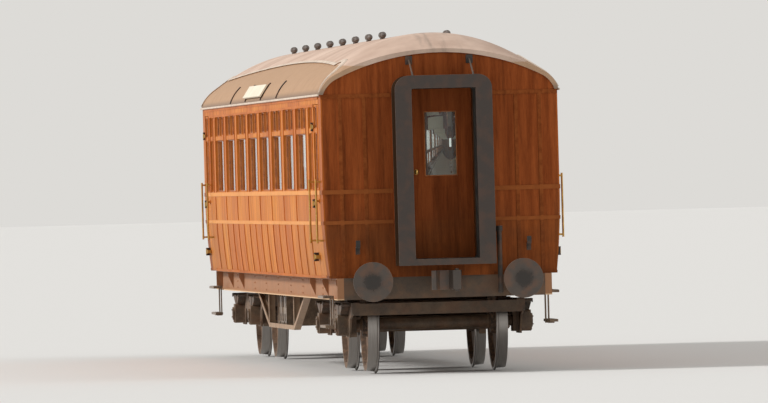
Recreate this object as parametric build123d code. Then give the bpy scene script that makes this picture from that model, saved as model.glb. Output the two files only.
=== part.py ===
"""Bow-ended passenger coach on two bogies.

Millimetres. +X is the front end, +Y the left side, +Z up. The origin is under the
middle of the coach, level with the bottoms of the wheel flanges.
The coach looks the same after half a turn about Z, so most pieces are built once
and turned.
"""

from build123d import *
import math
import os

# Fits: seated pieces, running bores, and clearances round moving leaves
SEAT = 0.4
RUNNING_GAP = 0.4
DOOR_GAP = 6.0

# Track and wheels
FLANGE = 28.0
TREAD_RADIUS = 545.0
WHEEL_BACK = 680.0
WHEEL_WIDTH = 135.0
FLANGE_WIDTH = 32.0
HUB_RADIUS = 135.0
HUB_PROUD = 20.0
RIM_DEPTH = 70.0
TYRE_STEP = 5.0
AXLE_RADIUS = 85.0
AXLE_WAIST = 12.0
JOURNAL_RADIUS = 60.0
JOURNAL_Y = 1000.0
JOURNAL_END = 85.0

# Bogie frames
BOGIE_CENTRES = 13106.0
WHEELBASE = 2590.0
BOGIE_TOP = 835.0
BOGIE_HALF = 1960.0
FRAME_Y = 996.0
FRAME_PLATE = 22.0
FRAME_LIP = 70.0
LIP_THICK = 14.0
FRAME_DEPTH = 190.0
FRAME_TAPER = 60.0
FRAME_BELLY = 420.0
HORN = 95.0
HORN_CLEAR = 4.0
HORN_TIE = 18.0
HORN_FOOT = 140.0
TRANSOM_X = 285.0
HEAD_DEPTH = 136.0
TRANSOM_DEPTH = 186.0
CROSS_FLANGE = 90.0
HANGER_BAR = 24.0
HANGER_DROP = 45.0

# Axleboxes, springs and bolsters
AXLEBOX = (256.0, 214.0, 246.0)
GUIDE = 14.0
GUIDE_LAP = 22.0
COVER_RADIUS = 82.0
COVER_THICK = 26.0
SPRING_LENGTH = 980.0
SPRING_RADIUS = 5200.0
SPRING_LEAVES = 8
LEAF = 13.0
SHORT_LEAF = 0.28
SPRING_WIDTH = 90.0
EYE_RADIUS = 19.0
SHACKLE = 12.0
PIVOT_RADIUS = 60.0
CENTRE_PLATE = 190.0
BOLSTER_HALF = 190.0
BOLSTER_DROP = 120.0
BOLSTER_RISE = 95.0
PLANK_HALF = 820.0
PLANK_Z = 470.0
PLANK_THICK = 26.0
LINK = (40.0, 40.0)
COIL_RADIUS = 62.0
COIL_WIRE = 15.0
COIL_TURNS = 4.5
COIL_SEAT = 12.0
COIL_X = 95.0
COIL_IN = 160.0

# Body
BODY_LENGTH = 18745.0
BODY_WIDTH = 2743.0
BOW = 130.0
WALL = 75.0
DOOR_THICK = 50.0
PANEL_BOTTOM = 1100.0
TURN_UNDER_HEIGHT = 990.0
TURN_UNDER = 60.0
CANTRAIL_HEIGHT = 3220.0
CANTRAIL_DEPTH = 100.0
CANTRAIL_LIP = 46.0
FLOOR_HEIGHT = 1300.0
FLOOR_THICK = 60.0
BEARER = 100.0
BEAD = 8.0
BEAD_WIDTH = 42.0
BOTTOM_RAIL = 30.0
WAIST_RAIL = 50.0
TOP_RAIL = 34.0

# Roof
ROOF_RISE = 700.0
ROOF_OVERHANG = 18.0
ROOF_THICK = 45.0
SHOULDER_RADIUS = 500.0
SHOULDER_LEAN = 17.0
DOME_LENGTH = 1150.0
DOME_DROP = 200.0
GUTTER_PROUD = 14.0
STRIP_PROUD = 14.0
STRIP_WIDTH = 24.0
VENT_Y = 380.0
VENT_RISE = 46.0
VENT_RING = (38.0, 8.0)
VENT_NECK = 30.0
VENT_SHAPE = ((-200, 0), (-178, 20), (-95, 34), (95, 34), (178, 20), (200, 0))

# Windows
BAYS = 8
BAY = 1828.8
WINDOW_WIDTH = 1372.0
WINDOW_BELOW_CANTRAIL = 1090.0
WINDOW_HEIGHT = 660.0
TRANSOM = 52.0
TOPLIGHT_HEIGHT = 250.0
TOPLIGHT_GAP = 46.0
QUARTER_WIDTH = 430.0
QUARTER_FROM_DOOR = 408.65
PANE_ROUND = 28.0
WINDOW_FRAME = 40.0
GLASS = 6.0
GLASS_INSET = 38.0
DOOR_GLASS_INSET = 22.0

# Doors
DOOR_WIDTH = 700.0
DOOR_FROM_END = 500.0
DROPLIGHT_WIDTH = 430.0
DROPLIGHT_POST = 60.0
HINGE_OUT = 20.0
PIN_RADIUS = 6.0
KNUCKLE_RADIUS = 13.0
KNUCKLE_HALF = 30.0
KNUCKLE_GAP = 0.6
STRAP = 150.0
STRAP_HALF = 20.0
STRAP_THICK = 6.0
BRACKET = 85.0
BRACKET_FOOT = 40.0
HANDLE_OUT = 42.0
HANDLE_RADIUS = 11.0
HANDLE_LENGTH = 120.0
HANDLE_IN = 90.0
HANDLE_DROP = 130.0
HANDLE_ROSE = 26.0
RAIL_OUT = 55.0
RAIL_SPAN = (-620.0, 120.0)
RAIL_FROM_DOOR = 110.0
RAIL_RADIUS = 12.0
STUB_RADIUS = 11.0
DOORWAY_WIDTH = 740.0
DOORWAY_HEIGHT = 1960.0

# Underframe
SOLEBAR_HEIGHT = 250.0
SOLEBAR_INSET = 129.5
SOLEBAR_FLANGE = 82.0
STEEL = 12.0
HEADSTOCK_IN = 27.0
CROSSBARS = (-3700.0, -1900.0, 0.0, 1900.0, 3700.0)
CROSSBAR_RISE = 60.0
SILL_BEAM = 110.0
SILL_BEAM_WIDTH = 80.0
SILL_BEAM_Y = 350.0
BODY_BOLSTER = (320.0, 130.0)
TRUSS_DROP = 420.0
TRUSS_DEPTH = 55.0
TRUSS_POST = 70.0
STEP_DROP = 320.0
STEP_THICK = 30.0
STEP_IRON = 14.0

# Ends
BUFFER_HEIGHT = 1054.0
BUFFER_Y = 868.0
BUFFER_LENGTH = 500.0
BUFFER_HEAD_RADIUS = 228.0
BUFFER_DOME = 12.0
BUFFER_FLAT = 50.0
SHANK_RADIUS = 66.0
GANGWAY_WIDTH = 1120.0
GANGWAY_LENGTH = 470.0
GANGWAY_PLATE = 40.0
GANGWAY_FOOT = 20.0
GANGWAY_LEAF = 40.0
GANGWAY_SILL = 70.0
GANGWAY_HEAD = 150.0
GANGWAY_ROUND = 160.0
BELLOWS_IN = 50.0
BELLOWS_LIP = 30.0
LEAF_LIGHT = (190.0, 950.0, 1700.0)
LEAF_PANEL = (210.0, 180.0, 820.0)
LEAF_HINGES = (200.0, 980.0, 1760.0)
END_BEADS_IN = (491.5, 216.5)
HOSE_Y = 640.0

# Roof board
BOARD_X = 600.0
BOARD_LENGTH = 2700.0
BOARD_RISE = 125.0
BOARD_DEPTH = 170.0
BOARD_THICK = 20.0
BRACKET_PITCH = 2420.0
BRACKET_WIDTH = 34.0
BRACKET_THICK = 14.0
BRACKET_SPAN = (20.0, 225.0)

# Saloon fittings
PARTITION = 35.0
PARTITION_DOOR = 310.0
PARTITION_DOOR_HEIGHT = 1950.0
SEAT_Y = 250.0
SEAT_BASE = 300.0
CUSHION_TOP = 450.0
BACK_TOP = 1130.0
BACK_HALF = 75.0
CUSHION_REACH = 540.0
SEAT_FROM_WALL = 25.0
FRAME_IN = 20.0
FRAME_BACK = 60.0
FRAME_REACH = 500.0
TABLE_TOP = 720.0
TABLE_THICK = 30.0
TABLE_HALF = 230.0
TABLE_Y = 480.0
TABLE_LEG = 60.0
TABLE_LEG_IN = 150.0
TABLE_ROUND = 60.0
RACK_DEPTH = 330.0
RACK_DROP = 135.0
RACK_RAIL = 11.0
RACK_IRON = 26.0

# Gear under the floor: places along, sizes, and outlines as (radius or reach, height or place)
BATTERY_X = (300.0, 1600.0)
BATTERY_DEPTH = 560.0
BATTERY_INSET = 100.0
BATTERY_SPAN = (-400.0, 30.0)
CRADLE = 40.0
CYLINDER_X = -2800.0
CYLINDER_STEM = 36.0
CYLINDER_SHAPE = (
    (0, -360),
    (230, -360),
    (265, -330),
    (265, -30),
    (295, -30),
    (295, 0),
    (270, 0),
    (150, 60),
    (60, 100),
    (0, 100),
)
DYNAMO_X = 3000.0
DYNAMO_IN = 650.0
DYNAMO_DROP = 150.0
DYNAMO_CAP = (60.0, 190.0, 150.0, 192.0)
DYNAMO_SHAPE = (
    (0, -300),
    (110, -300),
    (120, -270),
    (185, -210),
    (190, -200),
    (190, 200),
    (185, 210),
    (120, 260),
    (40, 262),
    (40, 290),
    (95, 290),
    (88, 335),
    (95, 380),
    (0, 380),
)

# The coupler's head in plan, from the headstock
COUPLER_HALF = 110.0
COUPLER_SHANK = (230.0, 70.0)
COUPLER_PIN = (370.0, 110.0, 24.0, 260.0)
COUPLER_SHAPE = (
    (220, -100),
    (300, -170),
    (430, -190),
    (440, -140),
    (350, -90),
    (330, 20),
    (420, 60),
    (430, 150),
    (330, 170),
    (220, 110),
)

# Levels above the bottoms of the flanges
AXLE_Z = FLANGE + TREAD_RADIUS
BOTTOM_Z = FLANGE + PANEL_BOTTOM
WAIST_Z = BOTTOM_Z + TURN_UNDER_HEIGHT
CANTRAIL_Z = FLANGE + CANTRAIL_HEIGHT
FLOOR_Z = FLANGE + FLOOR_HEIGHT
SOLEBAR_Z = BOTTOM_Z - SOLEBAR_HEIGHT
BUFFER_Z = FLANGE + BUFFER_HEIGHT
SILL_Z = CANTRAIL_Z - WINDOW_BELOW_CANTRAIL
LOW_RAIL_Z = SILL_Z - 410.0
WAIST_RAIL_Z = SILL_Z - 60.0
TOPLIGHT_Z = SILL_Z + WINDOW_HEIGHT + TRANSOM
RAIL_Z = CANTRAIL_Z - CANTRAIL_DEPTH
WALL_TOP_Z = RAIL_Z - SEAT
CROSSBAR_Z = SOLEBAR_Z + CROSSBAR_RISE
ABOVE_Z = CANTRAIL_Z + 2000.0

# Brake blocks, from the wheel's axle
SHOE_INNER = TREAD_RADIUS + 12.0
SHOE_OUTER = TREAD_RADIUS + 68.0
SHOE_ANGLE = 16.0
SHOE_HALF = 38.0
BRAKE_BAR_X = WHEELBASE / 2 - SHOE_OUTER - 8.0

# Lengthwise and crosswise stations
HALF_WIDTH = BODY_WIDTH / 2
ROOF_HALF = HALF_WIDTH + ROOF_OVERHANG
END_RISE = ROOF_RISE - DOME_DROP
END_X = BODY_LENGTH / 2
CORNER_X = END_X - BOW
DOME_X = END_X - DOME_LENGTH
DOOR_OUT_X = END_X - DOOR_FROM_END
DOOR_IN_X = DOOR_OUT_X - DOOR_WIDTH
SALOON_X = BAYS * BAY / 2
PARTITION_X = SALOON_X + 20.0
HEADSTOCK_X = END_X - HEADSTOCK_IN
BOGIE_X = BOGIE_CENTRES / 2
FRAME_IN_Y = FRAME_Y - FRAME_PLATE / 2
SOLEBAR_EDGE = HALF_WIDTH - SOLEBAR_INSET
SOLEBAR_Y = SOLEBAR_EDGE - SOLEBAR_FLANGE
TURN_RADIUS = (TURN_UNDER_HEIGHT**2 + TURN_UNDER**2) / (2 * TURN_UNDER)
BOW_RADIUS = (HALF_WIDTH**2 + BOW**2) / (2 * BOW)
GANGWAY_LEAF_X = CORNER_X + 60.0
GANGWAY_HINGE = (GANGWAY_LEAF_X - GANGWAY_LEAF - 16.0, DOORWAY_WIDTH / 2 - 2.0)

# Each rail of the outside mouldings: its bottom level and its depth
SIDE_RAILS = (
    (BOTTOM_Z, BOTTOM_RAIL),
    (LOW_RAIL_Z, BEAD_WIDTH),
    (WAIST_RAIL_Z, WAIST_RAIL),
)

# The rain strip's line over the left side: height above the cantrail at the middle of the
# coach, then distance in from the end and height where it bends, turns and meets the eave
STRIP_CROWN = 482.0
STRIP_BEND = (1172.0, 372.0)
STRIP_TURN = (442.0, 300.0)
STRIP_FOOT = (136.0, 30.0)

parts = {}


def add(name, *solids):
    """Keeps the solids of one sub-part under its name."""
    parts[name] = [one for shape in solids for one in shape.solids()]


def block(x0, x1, y0, y1, z0, z1):
    """A box between two corners, given in either order."""
    size = Box(abs(x1 - x0), abs(y1 - y0), abs(z1 - z0))
    return Pos((x0 + x1) / 2, (y0 + y1) / 2, (z0 + z1) / 2) * size


def whole(result):
    """A result's solids as one shape."""
    found = result.solids()
    return found[0] if len(found) == 1 else Compound(list(found))


def fused(shapes):
    """One shape of several that touch."""
    shapes = list(shapes)
    return whole(shapes[0].fuse(*shapes[1:])) if len(shapes) > 1 else shapes[0]


def common(first, *others):
    """What all the shapes share."""
    for other in others:
        first = whole(first & other)
    return first


def less(shape, *cutters):
    """The shape with every cutter taken away."""
    return whole(shape.cut(*cutters)) if cutters else shape


def turned(shape):
    """The same piece at the other end and side."""
    return shape.rotate(Axis.Z, 180)


def mirrored(shape):
    """The same piece on the other side."""
    return shape.mirror(Plane.XZ)


def rod(start, end, radius):
    """A round bar between two points."""
    start, end = Vector(*start), Vector(*end)
    along = end - start
    plane = Plane(origin=start, z_dir=along)
    return extrude(plane * Circle(radius), amount=along.length)


def prism(points, direction, length):
    """A closed outline of straight lines, extruded."""
    return extrude(make_face(Polyline(*points, close=True)), amount=length, dir=direction)


def channel(along, web, reach, low, high, z0, z1):
    """A steel channel along "x" or "y": its web stands at one place, its flanges reach from it."""
    steel = math.copysign(STEEL, reach)
    outline = (
        (0, z0),
        (reach, z0),
        (reach, z0 + STEEL),
        (steel, z0 + STEEL),
        (steel, z1 - STEEL),
        (reach, z1 - STEEL),
        (reach, z1),
        (0, z1),
    )
    if along == "x":
        return prism([(low, web + out, z) for out, z in outline], (1, 0, 0), high - low)
    return prism([(web + out, low, z) for out, z in outline], (0, 1, 0), high - low)


def side_y(z, inset):
    """Half the width of the body at a height, this far inside the panels."""
    drop = max(0.0, WAIST_Z - z)
    return HALF_WIDTH - TURN_RADIUS + math.sqrt((TURN_RADIUS - inset) ** 2 - drop**2)


def side_line(inset, z0, z1):
    """The side's outline from z0 up to z1: an arc to the waist, then straight."""
    low = (0, side_y(z0, inset), z0)
    if z0 >= WAIST_Z:
        return [Line(low, (0, side_y(z1, inset), z1))]
    top = min(z1, WAIST_Z)
    mid = (z0 + top) / 2
    arc = ThreePointArc(low, (0, side_y(mid, inset), mid), (0, side_y(top, inset), top))
    if z1 <= WAIST_Z:
        return [arc]
    return [arc, Line((0, side_y(top, inset), top), (0, side_y(z1, inset), z1))]


def section(inset, z0, z1):
    """The body's cross-section between two heights, this far inside the panels."""
    left = side_line(inset, z0, z1)
    right = [edge.mirror(Plane.XZ) for edge in left]
    ends = [Line(left[0] @ 0, right[0] @ 0), Line(left[-1] @ 1, right[-1] @ 1)]
    return make_face(left + right + ends)


def wall(x0, x1, outer, inner, z0, z1):
    """A length of the left wall between two insets and two heights."""
    outside = side_line(outer, z0, z1)
    inside = side_line(inner, z0, z1)
    ends = [Line(outside[0] @ 0, inside[0] @ 0), Line(outside[-1] @ 1, inside[-1] @ 1)]
    face = make_face(outside + inside + ends)
    return Pos(x0, 0, 0) * extrude(face, amount=x1 - x0, dir=(1, 0, 0))


def bead(x0, x1, z0, z1):
    """A raised moulding on the left side."""
    return wall(x0, x1, -BEAD, 2, z0, z1)


def bays():
    """The middle of each window bay."""
    return [(index + 0.5) * BAY - SALOON_X for index in range(BAYS)]


def window_columns():
    """Middle and width of each window column, and how many toplights it has."""
    quarter_x = DOOR_IN_X - QUARTER_FROM_DOOR
    columns = [(x, WINDOW_WIDTH, 2) for x in bays()]
    columns += [(side * quarter_x, QUARTER_WIDTH, 1) for side in (-1, 1)]
    return columns


def panes(x, width, lights):
    """The lowest and highest corners (x, z) of a column's panes."""
    half = width / 2
    found = [(x - half, x + half, SILL_Z, SILL_Z + WINDOW_HEIGHT)]
    light = (width - TOPLIGHT_GAP * (lights - 1)) / lights
    for index in range(lights):
        low = x - half + index * (light + TOPLIGHT_GAP)
        found.append((low, low + light, TOPLIGHT_Z, TOPLIGHT_Z + TOPLIGHT_HEIGHT))
    return found


def opening(x0, x1, z0, z1):
    """A round-cornered cutter through the left wall."""
    hole = block(x0, x1, HALF_WIDTH - WALL - 40, HALF_WIDTH + 40, z0, z1)
    return fillet(hole.edges().filter_by(Axis.Y), PANE_ROUND)


def pane(x0, x1, z0, z1, inset):
    """A pane let into an opening of the left wall."""
    y = HALF_WIDTH - inset
    glass = block(x0 + SEAT, x1 - SEAT, y - GLASS, y, z0 + SEAT, z1 - SEAT)
    return fillet(glass.edges().filter_by(Axis.Y), PANE_ROUND)


def side_uprights():
    """Place and lowest and highest level of each upright moulding on the left side."""
    posts = [index * BAY - SALOON_X for index in range(BAYS + 1)]
    half_bays = bays() + [side * (SALOON_X + 60.0) for side in (-1, 1)]
    found = [(x, BOTTOM_Z, WAIST_RAIL_Z) for x in posts]
    found += [(x, BOTTOM_Z, LOW_RAIL_Z) for x in half_bays]
    for x, width, _ in window_columns():
        for side in (-1, 1):
            found.append((x + side * (width / 2 + WINDOW_FRAME), WAIST_RAIL_Z, WALL_TOP_Z))
    return found


def side_wall():
    """The left side between the doorways, with its mouldings, and its windows cut."""
    x0, x1 = -DOOR_IN_X + DOOR_GAP, DOOR_IN_X - DOOR_GAP
    pieces = [wall(x0, x1, 0, WALL, BOTTOM_Z, WALL_TOP_Z)]
    for z, depth in SIDE_RAILS + ((RAIL_Z - TOP_RAIL, TOP_RAIL - SEAT),):
        pieces.append(bead(x0, x1, z, z + depth))
    for x, z0, z1 in side_uprights():
        pieces.append(bead(x - BEAD_WIDTH / 2, x + BEAD_WIDTH / 2, z0, z1))
    cutters = [opening(*light) for column in window_columns() for light in panes(*column)]
    return less(fused(pieces), *cutters)


def side_glass():
    """The panes of the left side, each let into its reveal."""
    lights = [light for column in window_columns() for light in panes(*column)]
    return [pane(*light, GLASS_INSET) for light in lights]


def door_lights(x):
    """The droplight and the toplight of a door whose middle is at x."""
    low, high = x - DROPLIGHT_WIDTH / 2, x + DROPLIGHT_WIDTH / 2
    return (
        (low, high, SILL_Z, SILL_Z + WINDOW_HEIGHT),
        (low, high, TOPLIGHT_Z, TOPLIGHT_Z + TOPLIGHT_HEIGHT),
    )


def door_panel(x0, x1):
    """A left side door with its mouldings and its openings."""
    low, high = x0 + DOOR_GAP, x1 - DOOR_GAP
    z0, z1 = BOTTOM_Z + DOOR_GAP, RAIL_Z - DOOR_GAP
    middle = (x0 + x1) / 2
    pieces = [wall(low, high, 0, DOOR_THICK, z0, z1)]
    pieces.append(bead(low, high, z0, z0 + BOTTOM_RAIL))
    for z, depth in SIDE_RAILS[1:]:
        pieces.append(bead(low, high, z, z + depth))
    for side in (-1, 1):
        inner = middle + side * DROPLIGHT_WIDTH / 2
        near, far = sorted((inner, inner + side * DROPLIGHT_POST))
        pieces.append(bead(near, far, WAIST_RAIL_Z + WAIST_RAIL, z1))
    return less(fused(pieces), *[opening(*light) for light in door_lights(middle)])


def hinge_heights():
    """Heights of a side door's three hinges."""
    return (BOTTOM_Z + 250.0, WAIST_Z - 120.0, RAIL_Z - 260.0)


def door_fittings(x0, x1, hinge_x):
    """Hinge straps and knuckles on the hinge edge, and the handle on the other."""
    side = 1 if hinge_x > (x0 + x1) / 2 else -1
    axis_y = HALF_WIDTH + HINGE_OUT
    tip, foot_x = hinge_x - side * STRAP, hinge_x - side * 2 * KNUCKLE_HALF
    found = []
    for z in hinge_heights():
        low, high = z - STRAP_HALF, z + STRAP_HALF
        found.append(Pos(hinge_x, axis_y, z) * Cylinder(KNUCKLE_RADIUS, 2 * KNUCKLE_HALF))
        found.append(block(hinge_x, tip, axis_y - STRAP_THICK, axis_y, low, high))
        found.append(block(foot_x, tip, side_y(z, 0) - 3, axis_y, low, high))
    z = SILL_Z - HANDLE_DROP
    x = x0 + x1 - hinge_x + side * HANDLE_IN
    handle = (x, HALF_WIDTH + HANDLE_OUT, z)
    grip = Pos(*handle) * Cylinder(HANDLE_RADIUS, HANDLE_LENGTH, rotation=(0, 90, 0))
    stem = rod((x, HALF_WIDTH - 4, z), handle, HANDLE_RADIUS + 1)
    rose = rod((x, HALF_WIDTH - 4, z), (x, HALF_WIDTH + BEAD + 1, z), HANDLE_ROSE)
    return found + [fillet(grip.edges(), 5), stem, rose]


def pin_holes(x, y, heights):
    """Bores for the hinge pins."""
    bore = Cylinder(PIN_RADIUS + RUNNING_GAP, 4 * KNUCKLE_HALF)
    return [Pos(x, y, z) * bore for z in heights]


def hinge_bracket(z, inner_y):
    """A wall bracket at the origin with its pin upright: arms reach along +X to a foot."""
    low, high = KNUCKLE_HALF + KNUCKLE_GAP, KNUCKLE_HALF + 20
    pieces = [Cylinder(PIN_RADIUS, 2 * high)]
    for side in (-1, 1):
        pieces.append(Pos(0, 0, side * (low + high) / 2) * Cylinder(KNUCKLE_RADIUS, high - low))
        pieces.append(block(0, BRACKET, -STRAP_THICK, 0, side * low, side * high))
    pieces.append(block(BRACKET_FOOT, BRACKET, inner_y, 0, -high, high))
    return Pos(0, 0, z) * fused(pieces)


def side_door_hinges(hinge_x, side):
    """Three brackets and pins on the post beside a left side door."""
    axis_y = HALF_WIDTH + HINGE_OUT
    found = []
    for z in hinge_heights():
        foot = side_y(z + KNUCKLE_HALF + 20, 0) + SEAT - axis_y
        bracket = hinge_bracket(z, foot)
        if side < 0:
            bracket = bracket.mirror(Plane.YZ)
        found.append(Pos(hinge_x, axis_y, 0) * bracket)
    return found


def door(x0, x1, hinge_x):
    """A side door's panel with its fittings as one solid, and its two panes."""
    panel = fused([door_panel(x0, x1)] + door_fittings(x0, x1, hinge_x))
    panel = less(panel, *pin_holes(hinge_x, HALF_WIDTH + HINGE_OUT, hinge_heights()))
    return panel, [pane(*light, DOOR_GLASS_INSET) for light in door_lights((x0 + x1) / 2)]


def plan(inset, x_from):
    """The floor plan of the front end from x_from to the bow, this far inside."""
    reach = HALF_WIDTH + 200
    radius = BOW_RADIUS - inset
    corner = END_X - BOW_RADIUS + math.sqrt(radius**2 - reach**2)
    arc = ThreePointArc((corner, -reach, 0), (END_X - inset, 0, 0), (corner, reach, 0))
    rest = Polyline((corner, reach, 0), (x_from, reach, 0), (x_from, -reach, 0), (corner, -reach, 0))
    return make_face([arc, rest])


def bow_x(y, inset):
    """How far forward the front end reaches at a distance from the middle."""
    return END_X - BOW_RADIUS + math.sqrt((BOW_RADIUS - inset) ** 2 - y**2)


def roof_circles(rise):
    """Shoulder radius, its centre's y and z, crown radius and its centre's z for a rise."""
    lean = math.radians(SHOULDER_LEAN)
    shoulder = SHOULDER_RADIUS * min(1.0, rise / ROOF_RISE)
    cy = ROOF_HALF - shoulder * math.cos(lean)
    cz = CANTRAIL_Z - shoulder * math.sin(lean)
    depth = rise + shoulder * math.sin(lean)
    crown = (cy**2 + depth**2 - shoulder**2) / (2 * (depth - shoulder))
    return shoulder, cy, cz, crown, CANTRAIL_Z + rise - crown


def roof_arcs(x, rise, thick):
    """The roof's section, thick inside it, as arcs from the left eave to the right."""
    shoulder, cy, cz, crown, crown_z = roof_circles(rise)
    turn = math.atan2(cz - crown_z, cy)
    r, big = shoulder - thick, crown - thick
    start = math.asin((CANTRAIL_Z - cz) / r)

    def at(sign, angle):
        return (x, sign * (cy + r * math.cos(angle)), cz + r * math.sin(angle))

    mid = (start + turn) / 2
    left = ThreePointArc(at(1, start), at(1, mid), at(1, turn))
    top = ThreePointArc(at(1, turn), (x, 0, crown_z + big), at(-1, turn))
    right = ThreePointArc(at(-1, turn), at(-1, mid), at(-1, start))
    return [left, top, right]


def roof_face(x, rise, thick):
    """The area under the roof's arcs, down to the cantrail."""
    arcs = roof_arcs(x, rise, thick)
    return make_face(arcs + [Line(arcs[-1] @ 1, arcs[0] @ 0)])


def roof_run(x0, x1, rise, thick):
    """A straight length of the roof's section."""
    return extrude(roof_face(x0, rise, thick), amount=x1 - x0, dir=(1, 0, 0))


def roof_form(out):
    """The solid form of the whole roof, grown by this much: a middle and two domed ends."""
    sections = [
        roof_face(DOME_X, ROOF_RISE, -out),
        roof_face(DOME_X + 0.5 * DOME_LENGTH, ROOF_RISE - 0.25 * DOME_DROP, -out),
        roof_face(END_X + ROOF_OVERHANG + out, END_RISE, -out),
    ]
    bow = extrude(plan(-ROOF_OVERHANG - out, DOME_X - 50), amount=ABOVE_Z)
    dome = common(loft(sections), bow)
    return fused([roof_run(-DOME_X, DOME_X, ROOF_RISE, -out), dome, turned(dome)])


def roof():
    """The roof shell: hollow to its full rise over the saloon, lower over the vestibules."""
    saloon = roof_run(-DOME_X, DOME_X, ROOF_RISE, ROOF_THICK)
    vestibules = roof_run(-END_X - 200, END_X + 200, END_RISE, ROOF_THICK)
    return less(roof_form(0), saloon, vestibules)


def rain_strip():
    """The left rain strip: a raised bead in a long arch, turned down to the eave at both ends."""

    def edge(lower):
        """The strip's edge this far below its upper line: three arcs, and where they end."""
        knees, turns, feet = [], [], []
        for side in (-1, 1):
            knees.append((side * (END_X - STRIP_BEND[0]), 0, CANTRAIL_Z + STRIP_BEND[1] - lower))
            turns.append((side * (END_X - STRIP_TURN[0] - lower), 0, CANTRAIL_Z + STRIP_TURN[1] - lower))
            feet.append((side * (END_X - STRIP_FOOT[0] - lower), 0, CANTRAIL_Z + STRIP_FOOT[1]))
        crown = (0, 0, CANTRAIL_Z + STRIP_CROWN - lower)
        arcs = [ThreePointArc(*points) for points in zip(knees, turns, feet)]
        return arcs + [ThreePointArc(knees[0], crown, knees[1])], feet

    outer, outer_feet = edge(0)
    inner, inner_feet = edge(STRIP_WIDTH)
    ends = [Line(*pair) for pair in zip(outer_feet, inner_feet)]
    band = extrude(make_face(outer + inner + ends), amount=ROOF_HALF + 100, dir=(0, 1, 0))
    shell = less(roof_form(STRIP_PROUD), roof_form(SEAT))
    return common(shell, band)


def end_beads(body):
    """Mouldings across the front end on both sides of the gangway."""
    shell = less(
        extrude(plan(-BEAD, DOOR_OUT_X + DOOR_GAP), amount=ABOVE_Z),
        extrude(plan(2, DOOR_OUT_X - 50), amount=ABOVE_Z),
    )
    shell = common(shell, body)
    inner_y = GANGWAY_WIDTH / 2 + 10
    top = CANTRAIL_Z - SEAT
    strips = []
    for side in (-1, 1):
        for z, depth in SIDE_RAILS + ((CANTRAIL_Z - CANTRAIL_LIP, CANTRAIL_LIP - SEAT),):
            strips.append(block(DOOR_OUT_X, END_X + 50, side * inner_y, side * HALF_WIDTH, z, z + depth))
        for inward in END_BEADS_IN:
            y = HALF_WIDTH - inward
            low, high = side * (y - BEAD_WIDTH / 2), side * (y + BEAD_WIDTH / 2)
            strips.append(block(DOOR_OUT_X, END_X + 50, low, high, BOTTOM_Z, top))
    return common(shell, fused(strips))


def end_wall():
    """The front bow end with its corners, its mouldings and the gangway doorway."""
    low_z, high_z = BOTTOM_Z - 5, CANTRAIL_Z + 5
    lump = extrude(plan(0, DOOR_OUT_X + DOOR_GAP), amount=ABOVE_Z)
    hollow = extrude(plan(WALL, DOOR_OUT_X - 50), amount=ABOVE_Z)
    body = extrude(section(0, BOTTOM_Z, CANTRAIL_Z), amount=END_X + 500, dir=(1, 0, 0))
    core = extrude(section(WALL, low_z, high_z), amount=END_X + 500, dir=(1, 0, 0))
    low = less(common(lump, body), common(core, hollow))
    head = common(roof_run(0, END_X + 500, END_RISE, ROOF_THICK + SEAT), less(lump, hollow))
    inside_x = CORNER_X - WALL
    head = common(head, block(inside_x, END_X + 10, -BODY_WIDTH, BODY_WIDTH, CANTRAIL_Z, ABOVE_Z))
    sill, lintel = FLOOR_Z, FLOOR_Z + DOORWAY_HEIGHT
    half = GANGWAY_WIDTH / 2
    low_z, high_z = sill - GANGWAY_SILL, lintel + GANGWAY_HEAD
    foot = block(END_X - 60, END_X + GANGWAY_FOOT, -half, half, low_z, high_z)
    foot = fillet(foot.edges().filter_by(Axis.X).group_by(Axis.Z)[-1], GANGWAY_ROUND)
    corners = []
    for z, depth in SIDE_RAILS:
        strip = bead(DOOR_OUT_X + DOOR_GAP, CORNER_X, z, z + depth)
        corners += [strip, mirrored(strip)]
    shape = fused([low, head, foot, end_beads(body)] + corners)
    door_half = DOORWAY_WIDTH / 2
    return less(shape, block(inside_x - 100, END_X + 100, -door_half, door_half, sill, lintel))


def wheels(x):
    """Both wheels of one axle: dished discs with tyres, the flanges inboard."""
    tread, rim = TREAD_RADIUS, TREAD_RADIUS - RIM_DEPTH
    back, face = WHEEL_BACK, WHEEL_BACK + WHEEL_WIDTH
    flange = tread + FLANGE
    outline = Polyline(
        (AXLE_RADIUS, back - HUB_PROUD),
        (HUB_RADIUS, back - HUB_PROUD),
        (HUB_RADIUS + 15, back + 38),
        (rim - 12, back + 50),
        (rim, back),
        (flange - 12, back),
        (flange, back + 12),
        (flange - 6, back + FLANGE_WIDTH - 10),
        (tread + 2, back + FLANGE_WIDTH),
        (tread - 4, face),
        (rim + 12, face),
        (rim + 12, face - TYRE_STEP),
        (rim, face - TYRE_STEP),
        (rim - 12, back + 78),
        (HUB_RADIUS + 15, back + 66),
        (HUB_RADIUS, face + HUB_PROUD),
        (AXLE_RADIUS, face + HUB_PROUD),
        close=True,
    )
    wheel = revolve(make_face(Plane.XY * outline), axis=Axis.Y)
    wheel = Pos(x, 0, AXLE_Z) * wheel
    return [wheel, mirrored(wheel)]


def axle(x):
    """The axle with its wheel seats and journals."""
    waist = AXLE_RADIUS - AXLE_WAIST
    face = WHEEL_BACK + WHEEL_WIDTH + HUB_PROUD
    tip = JOURNAL_Y + JOURNAL_END
    outline = Polyline(
        (0, 0),
        (waist, 0),
        (waist, WHEEL_BACK - 60),
        (AXLE_RADIUS, WHEEL_BACK - 40),
        (AXLE_RADIUS, face + 6),
        (JOURNAL_RADIUS, face + 30),
        (JOURNAL_RADIUS, tip),
        (0, tip),
        close=True,
    )
    half = revolve(make_face(Plane.XY * outline), axis=Axis.Y)
    return Pos(x, 0, AXLE_Z) * fused([half, mirrored(half)])


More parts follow.
